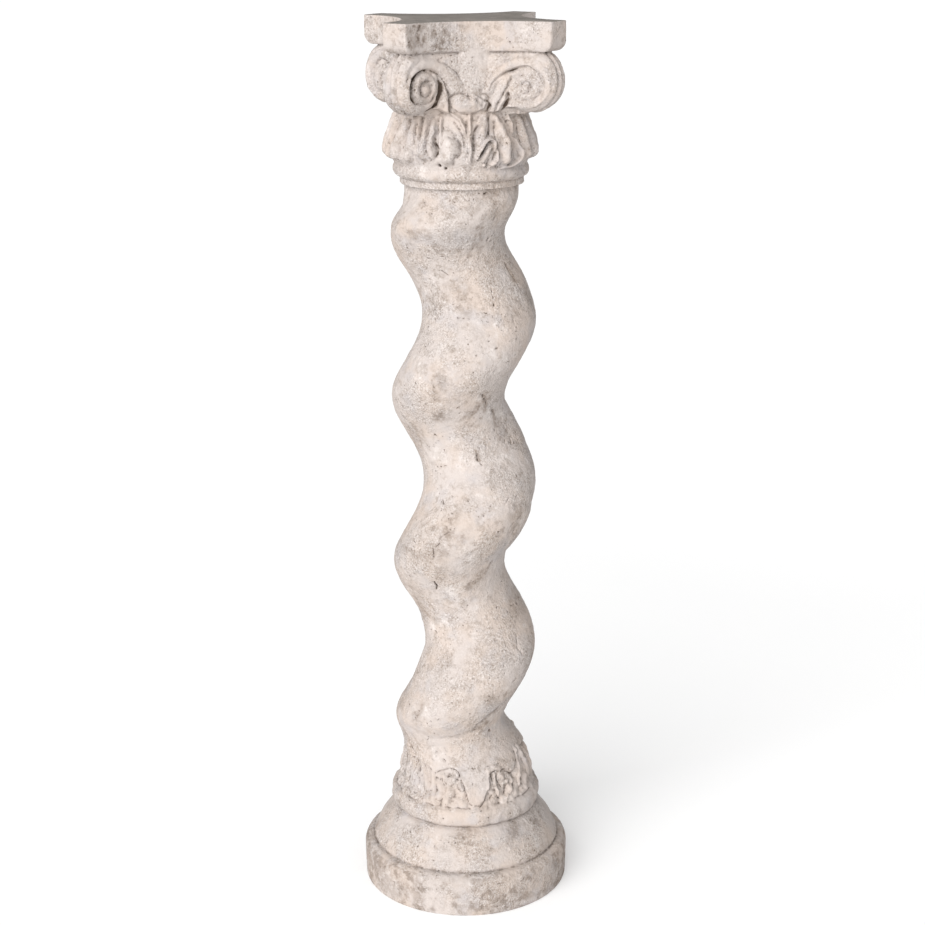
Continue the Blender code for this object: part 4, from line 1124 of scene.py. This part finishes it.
def groove_shade(points):
    """Painted shade in the grooves of the scrolls and leaves and round the knobs, from 0 to 1, with the
    capital square to the axes.
    """
    height = (points[:, 2] - VOLUTE_Z) / MM
    depth = np.zeros(len(points))
    for quarter in range(4):
        front = turned(points, (4 - quarter) % 4)
        here = (-front[:, 1] > np.abs(front[:, 0])) & (height > -34)
        way = SIDE_ARC_RADIUS / MM * np.arctan2(front[:, 0], front[:, 1] + SIDE_MIDDLE + SIDE_ARC_RADIUS)
        way, up = way[here], height[here]
        deep = np.zeros(len(way))
        for half, flat, strokes in scroll_halves(way, up, HANDS[quarter]):
            deep[half] = -carved(flat, grooves(strokes), 211)
        deep = np.maximum(deep, -carved(np.stack([way, up], 1), KNOB_POCKET + SIDE_PITS, 221))
        # The ring round each knob gets a painted shadow
        depth[here] = np.maximum(deep, KNOB_GROOVE_SHADE * round_knob(way, up, quarter))
    # Painted shade, darker in the deeper grooves
    darkening = smooth_step((depth - 1.6) / 4.4)
    height = (points[:, 2] - LEAF_FOOT) / MM
    turn = (np.arctan2(points[:, 1], points[:, 0]) + math.pi / 2) / LEAF_SECTOR
    on_bell = np.hypot(points[:, 0], points[:, 1]) < BELL_REACH
    depth = np.zeros(len(points))
    for flat, strokes, seed in on_leaves(turn, height):
        depth = np.maximum(depth, -carved(flat, grooves(strokes), seed))
    return np.maximum(darkening, smooth_step((depth - 1.4) / 2.6) * (on_bell & (height < 74)))


def capital_stain_and_shade(points):
    total = 0.30 * patches(points, 0.030, 601, 0.35, 0.7)
    square = points.copy()
    square[:, 0] -= through(LEAN, points[:, 2])
    square = spun(square, -CAPITAL_TURN)
    abacus = (points[:, 2] > ABACUS_FOOT) & (points[:, 2] < COLUMN_TOP - 0.002)
    patch = patches(points, 0.006, 605, -0.05, 0.6) * smooth_step((0.012 - square[:, 0]) / 0.03)
    corner = smooth_step(1 - np.abs(square[:, 0] + 0.074) / 0.016) * (square[:, 1] < 0)
    total += abacus * (0.09 + 0.33 * patch + 0.42 * corner * patches(points, 0.009, 609, -0.7, 1))
    # Stains, and painted shade in the grooves
    return total + 1.25 * groove_shade(square) * (0.80 + 0.35 * rough(points, 0.006, 613))


# The pitted part of the abacus: its middle and reach across in metres, and its depth in millimetres
PITTED_MIDDLE = -0.042
PITTED_REACH = 0.030
PITTED_DEPTH = 2.4


def make_capital():
    forms = [make_abacus(), make_bell(), make_core()]
    for quarter in range(4):
        forms.append(make_panel(quarter, HANDS[quarter]))
        forms.append(make_volute(quarter, HANDS[quarter][1], HANDS[(quarter + 1) % 4][0]))
        forms.append(make_knob(quarter))
    obj = joined("capital_stone", forms)
    remesh = obj.modifiers.new("Fuse", "REMESH")
    remesh.mode = "VOXEL"
    remesh.voxel_size = CAPITAL_VOXEL
    remesh.adaptivity = 0.0
    apply_modifiers(obj)
    points, normals = get_points(obj), get_normals(obj)
    move = worn(points, 111, CAPITAL_WEAR) - CAPITAL_SINK
    pitted = smooth_step((PITTED_REACH - np.abs(points[:, 0] - PITTED_MIDDLE)) / 0.012)
    pitted *= points[:, 2] > ABACUS_FOOT + 0.003
    scattered = pits(points, 0.0062, 0.55, (0.0010, 0.0019), 151)
    move -= PITTED_DEPTH * pitted * scattered * patches(points, 0.012, 155, -0.6, 1)
    inside = (points[:, 2] > CAPITAL_FOOT + 0.0012) & (points[:, 2] < COLUMN_TOP - 0.0012)
    points += normals * (move * inside * MM)[:, None]
    points = spun(points, CAPITAL_TURN)
    points[:, 0] += through(LEAN, points[:, 2])
    points[:, 2] = np.clip(points[:, 2], CAPITAL_FOOT, COLUMN_TOP)
    reshape(obj, points)
    finish_piece(obj, "capital", MATERIALS["capital"], capital_stain_and_shade)


# Materials


def srgb(red, green, blue):
    """A colour given as it looks on a screen, from 0 to 255, as linear values."""
    channels = [value / 255 for value in (red, green, blue)]
    return tuple(c / 12.92 if c <= 0.04045 else ((c + 0.055) / 1.055) ** 2.4 for c in channels) + (1.0,)


BASE = srgb(177, 168, 163)
WARM = srgb(178, 165, 156)
COOL = srgb(168, 162, 161)
CHALK = srgb(201, 194, 190)
STAIN = srgb(132, 120, 110)
# Colour of dirt, also used for painted shade in the hollows and grooves
DIRT_AND_SHADE = srgb(106, 92, 80)
# Colour of pits, also used for painted shade in the finest hollows and deepest grooves
PIT_AND_SHADE = srgb(66, 54, 45)
# The top of the abacus: painted shade with its dark patina
TOP_SHADE_AND_PATINA = srgb(126, 120, 114)
STONE_ROUGHNESS = 0.9
STONE_SHEEN = 0.2
BUMP_DISTANCE = 0.0024
# Clouds over the base: scale, detail and roughness of the noise, start, full, greatest share and colour
CLOUDS = (
    (14.0, 4.0, 0.6, 0.40, 0.64, 1.0, WARM),
    (23.0, 4.0, 0.6, 0.50, 0.70, 0.7, COOL),
    (34.0, 6.0, 0.7, 0.54, 0.72, 0.75, CHALK),
)


class Nodes:
    """A short way to write the nodes of one material."""

    def __init__(self, name):
        self.material = bpy.data.materials.new(name)
        self.material.use_nodes = True
        self.tree = self.material.node_tree
        self.shader = self.tree.nodes["Principled BSDF"]
        self.place = self.add("ShaderNodeTexCoord").outputs["Object"]

    def add(self, kind, **values):
        node = self.tree.nodes.new(kind)
        for key, value in values.items():
            setattr(node, key, value)
        return node

    def link(self, source, socket):
        self.tree.links.new(source, socket)

    def noise(self, scale, detail=3.0, roughness=0.6):
        node = self.add("ShaderNodeTexNoise")
        node.inputs["Scale"].default_value = scale
        node.inputs["Detail"].default_value = detail
        node.inputs["Roughness"].default_value = roughness
        self.link(self.place, node.inputs["Vector"])
        return node.outputs["Fac"]

    def attribute(self, name):
        return self.add("ShaderNodeAttribute", attribute_name=name).outputs["Fac"]

    def span(self, source, low, high, to_low=0.0, to_high=1.0):
        node = self.add("ShaderNodeMapRange", interpolation_type="SMOOTHSTEP")
        for name, value in (("From Min", low), ("From Max", high), ("To Min", to_low), ("To Max", to_high)):
            node.inputs[name].default_value = value
        self.link(source, node.inputs["Value"])
        return node.outputs["Result"]

    def math(self, operation, first, second):
        node = self.add("ShaderNodeMath", operation=operation)
        for socket, value in zip(node.inputs, (first, second)):
            if isinstance(value, (int, float)):
                socket.default_value = value
            else:
                self.link(value, socket)
        return node.outputs["Value"]

    def times(self, first, second):
        return self.math("MULTIPLY", first, second)

    def colour_mix(self, share, first, second):
        node = self.add("ShaderNodeMix", data_type="RGBA")
        self.link(share, node.inputs["Factor"])
        for socket, value in ((node.inputs[6], first), (node.inputs[7], second)):
            if isinstance(value, tuple):
                socket.default_value = value
            else:
                self.link(value, socket)
        return node.outputs[2]


def stone_material(name, top_shade_and_patina=False):
    """Pale stone with clouds, grit and specks, dirt and painted shade where the attributes of the mesh ask
    for it, and painted shade with dark patina on the top of the abacus if asked.
    """
    n = Nodes(name)
    broken = n.span(n.noise(120.0, 4.0, 0.7), 0.36, 0.58, 0.35, 1.0)
    colour = BASE
    for scale, detail, roughness, start, full, most, cloud in CLOUDS:
        share = n.span(n.noise(scale, detail, roughness), start, full, 0.0, most)
        colour = n.colour_mix(share, colour, cloud)
    mottle = n.times(n.span(n.noise(110.0, 5.0, 0.75), 0.48, 0.64), n.span(n.noise(18.0), 0.36, 0.60))
    colour = n.colour_mix(n.times(mottle, 0.60), colour, STAIN)
    gritty = n.span(n.noise(19.0, 5.0, 0.65), 0.43, 0.60, 0.12, 1.0)
    grain = n.noise(430.0, 3.0, 0.65)
    colour = n.colour_mix(n.times(n.span(grain, 0.53, 0.65, 0.0, 0.85), gritty), colour, CHALK)
    colour = n.colour_mix(n.times(n.span(grain, 0.47, 0.34, 0.0, 0.75), gritty), colour, STAIN)
    specks = n.times(n.span(n.noise(240.0, 2.0, 0.5), 0.65, 0.73), n.span(n.noise(36.0, 4.0), 0.50, 0.60))
    colour = n.colour_mix(n.times(specks, 0.85), colour, DIRT_AND_SHADE)
    # Stains, with painted shade in the grooves of the capital and under the turns of the shaft
    stain_and_shade = n.attribute("stain_and_shade")
    colour = n.colour_mix(n.span(n.times(stain_and_shade, broken), 0.0, 0.85, 0.0, 0.85), colour, DIRT_AND_SHADE)
    # Painted shade in the broad hollows, in the colour of dirt
    recess_shade = n.times(n.span(n.attribute("recess_shade"), 1.4, 6.0, 0.0, 0.65), broken)
    colour = n.colour_mix(recess_shade, colour, DIRT_AND_SHADE)
    # The colour of pits where this is strongest, partly painted shade in the deepest grooves
    colour = n.colour_mix(n.span(stain_and_shade, 0.60, 0.95, 0.0, 0.9), colour, PIT_AND_SHADE)
    # Painted shade in the fine hollows, in the colour of the pits
    crevice_shade = n.times(n.span(n.attribute("crevice_shade"), 0.12, 1.0, 0.0, 0.75), broken)
    colour = n.colour_mix(crevice_shade, colour, PIT_AND_SHADE)
    if top_shade_and_patina:
        # Painted shade with dark patina on the upward faces of the abacus top
        split = n.add("ShaderNodeSeparateXYZ")
        n.link(n.add("ShaderNodeNewGeometry").outputs["Normal"], split.inputs["Vector"])
        height = n.add("ShaderNodeSeparateXYZ")
        n.link(n.place, height.inputs["Vector"])
        up = n.span(split.outputs["Z"], 0.70, 0.92)
        high = n.span(height.outputs["Z"], COLUMN_TOP - 0.004, COLUMN_TOP - 0.0015)
        patchy = n.span(n.noise(60.0, 5.0, 0.7), 0.30, 0.60, 0.75, 1.0)
        colour = n.colour_mix(n.times(n.times(up, high), patchy), colour, TOP_SHADE_AND_PATINA)
    n.link(colour, n.shader.inputs["Base Color"])
    n.shader.inputs["Roughness"].default_value = STONE_ROUGHNESS
    n.shader.inputs["Specular IOR Level"].default_value = STONE_SHEEN
    height = n.math("ADD", n.times(n.noise(190.0, 5.0), 0.6), n.times(grain, gritty))
    height = n.math("SUBTRACT", height, n.times(specks, 0.6))
    bump = n.add("ShaderNodeBump")
    bump.inputs["Strength"].default_value = 0.9
    bump.inputs["Distance"].default_value = BUMP_DISTANCE
    n.link(height, bump.inputs["Height"])
    n.link(bump.outputs["Normal"], n.shader.inputs["Normal"])
    return n.material


MATERIALS = {
    "capital": stone_material("capital_stone", top_shade_and_patina=True),
    "shaft": stone_material("shaft_stone"),
    "plinth": stone_material("plinth_stone"),
}


# Floor, lights and camera

CAMERA_PLACE = (-0.00236, -2.525, 1.371)
CAMERA_PITCH = math.radians(16.57)
CAMERA_ROLL = math.radians(-0.257)
CAMERA_LENS = 74.2
SENSOR_WIDTH = 36.0
WHITE = (1.0, 1.0, 1.0, 1.0)
FLOOR_SIZE = 60.0
FLOOR_DROP = 0.0002
FLOOR_COLOUR = (0.8, 0.8, 0.8, 1.0)
FLOOR_GLOW = 0.2
WORLD_STRENGTH = 0.58
KEY_AZIMUTH = math.radians(-26)
KEY_ELEVATION = math.radians(16)
KEY_STRENGTH = 5.1
KEY_SOFTNESS = math.radians(60)


def make_stage():
    half = FLOOR_SIZE / 2
    corners = np.array([(-half, -half, 0), (half, -half, 0), (half, half, 0), (-half, half, 0)])
    floor = new_object("floor", corners - np.array([0, 0, FLOOR_DROP]), [[0, 1, 2, 3]])
    material = bpy.data.materials.new("floor")
    material.use_nodes = True
    shader = material.node_tree.nodes["Principled BSDF"]
    shader.inputs["Base Color"].default_value = FLOOR_COLOUR
    shader.inputs["Roughness"].default_value = 0.9
    shader.inputs["Emission Color"].default_value = WHITE
    shader.inputs["Emission Strength"].default_value = FLOOR_GLOW
    floor.data.materials.append(material)


def make_lights():
    world = bpy.data.worlds.new("studio")
    bpy.context.scene.world = world
    world.use_nodes = True
    background = world.node_tree.nodes["Background"]
    background.inputs["Color"].default_value = WHITE
    background.inputs["Strength"].default_value = WORLD_STRENGTH
    light = bpy.data.lights.new("key", "SUN")
    light.energy = KEY_STRENGTH
    light.angle = KEY_SOFTNESS
    obj = bpy.data.objects.new("key", light)
    level = math.cos(KEY_ELEVATION)
    towards = Vector((level * math.sin(KEY_AZIMUTH), -level * math.cos(KEY_AZIMUTH), math.sin(KEY_ELEVATION)))
    obj.location = towards * 5
    obj.rotation_euler = (-towards).to_track_quat("-Z", "Y").to_euler()
    bpy.context.scene.collection.objects.link(obj)


def make_camera():
    data = bpy.data.cameras.new("camera")
    data.lens = CAMERA_LENS
    data.sensor_width = SENSOR_WIDTH
    camera = bpy.data.objects.new("camera", data)
    camera.location = CAMERA_PLACE
    look = Euler((math.pi / 2 - CAMERA_PITCH, 0.0, 0.0)).to_matrix() @ Matrix.Rotation(CAMERA_ROLL, 3, "Z")
    camera.rotation_euler = look.to_euler()
    bpy.context.scene.collection.objects.link(camera)
    bpy.context.scene.camera = camera


bpy.context.scene.view_settings.view_transform = "Standard"
make_plinth()
make_shaft()
make_capital()
make_stage()
make_lights()
make_camera()
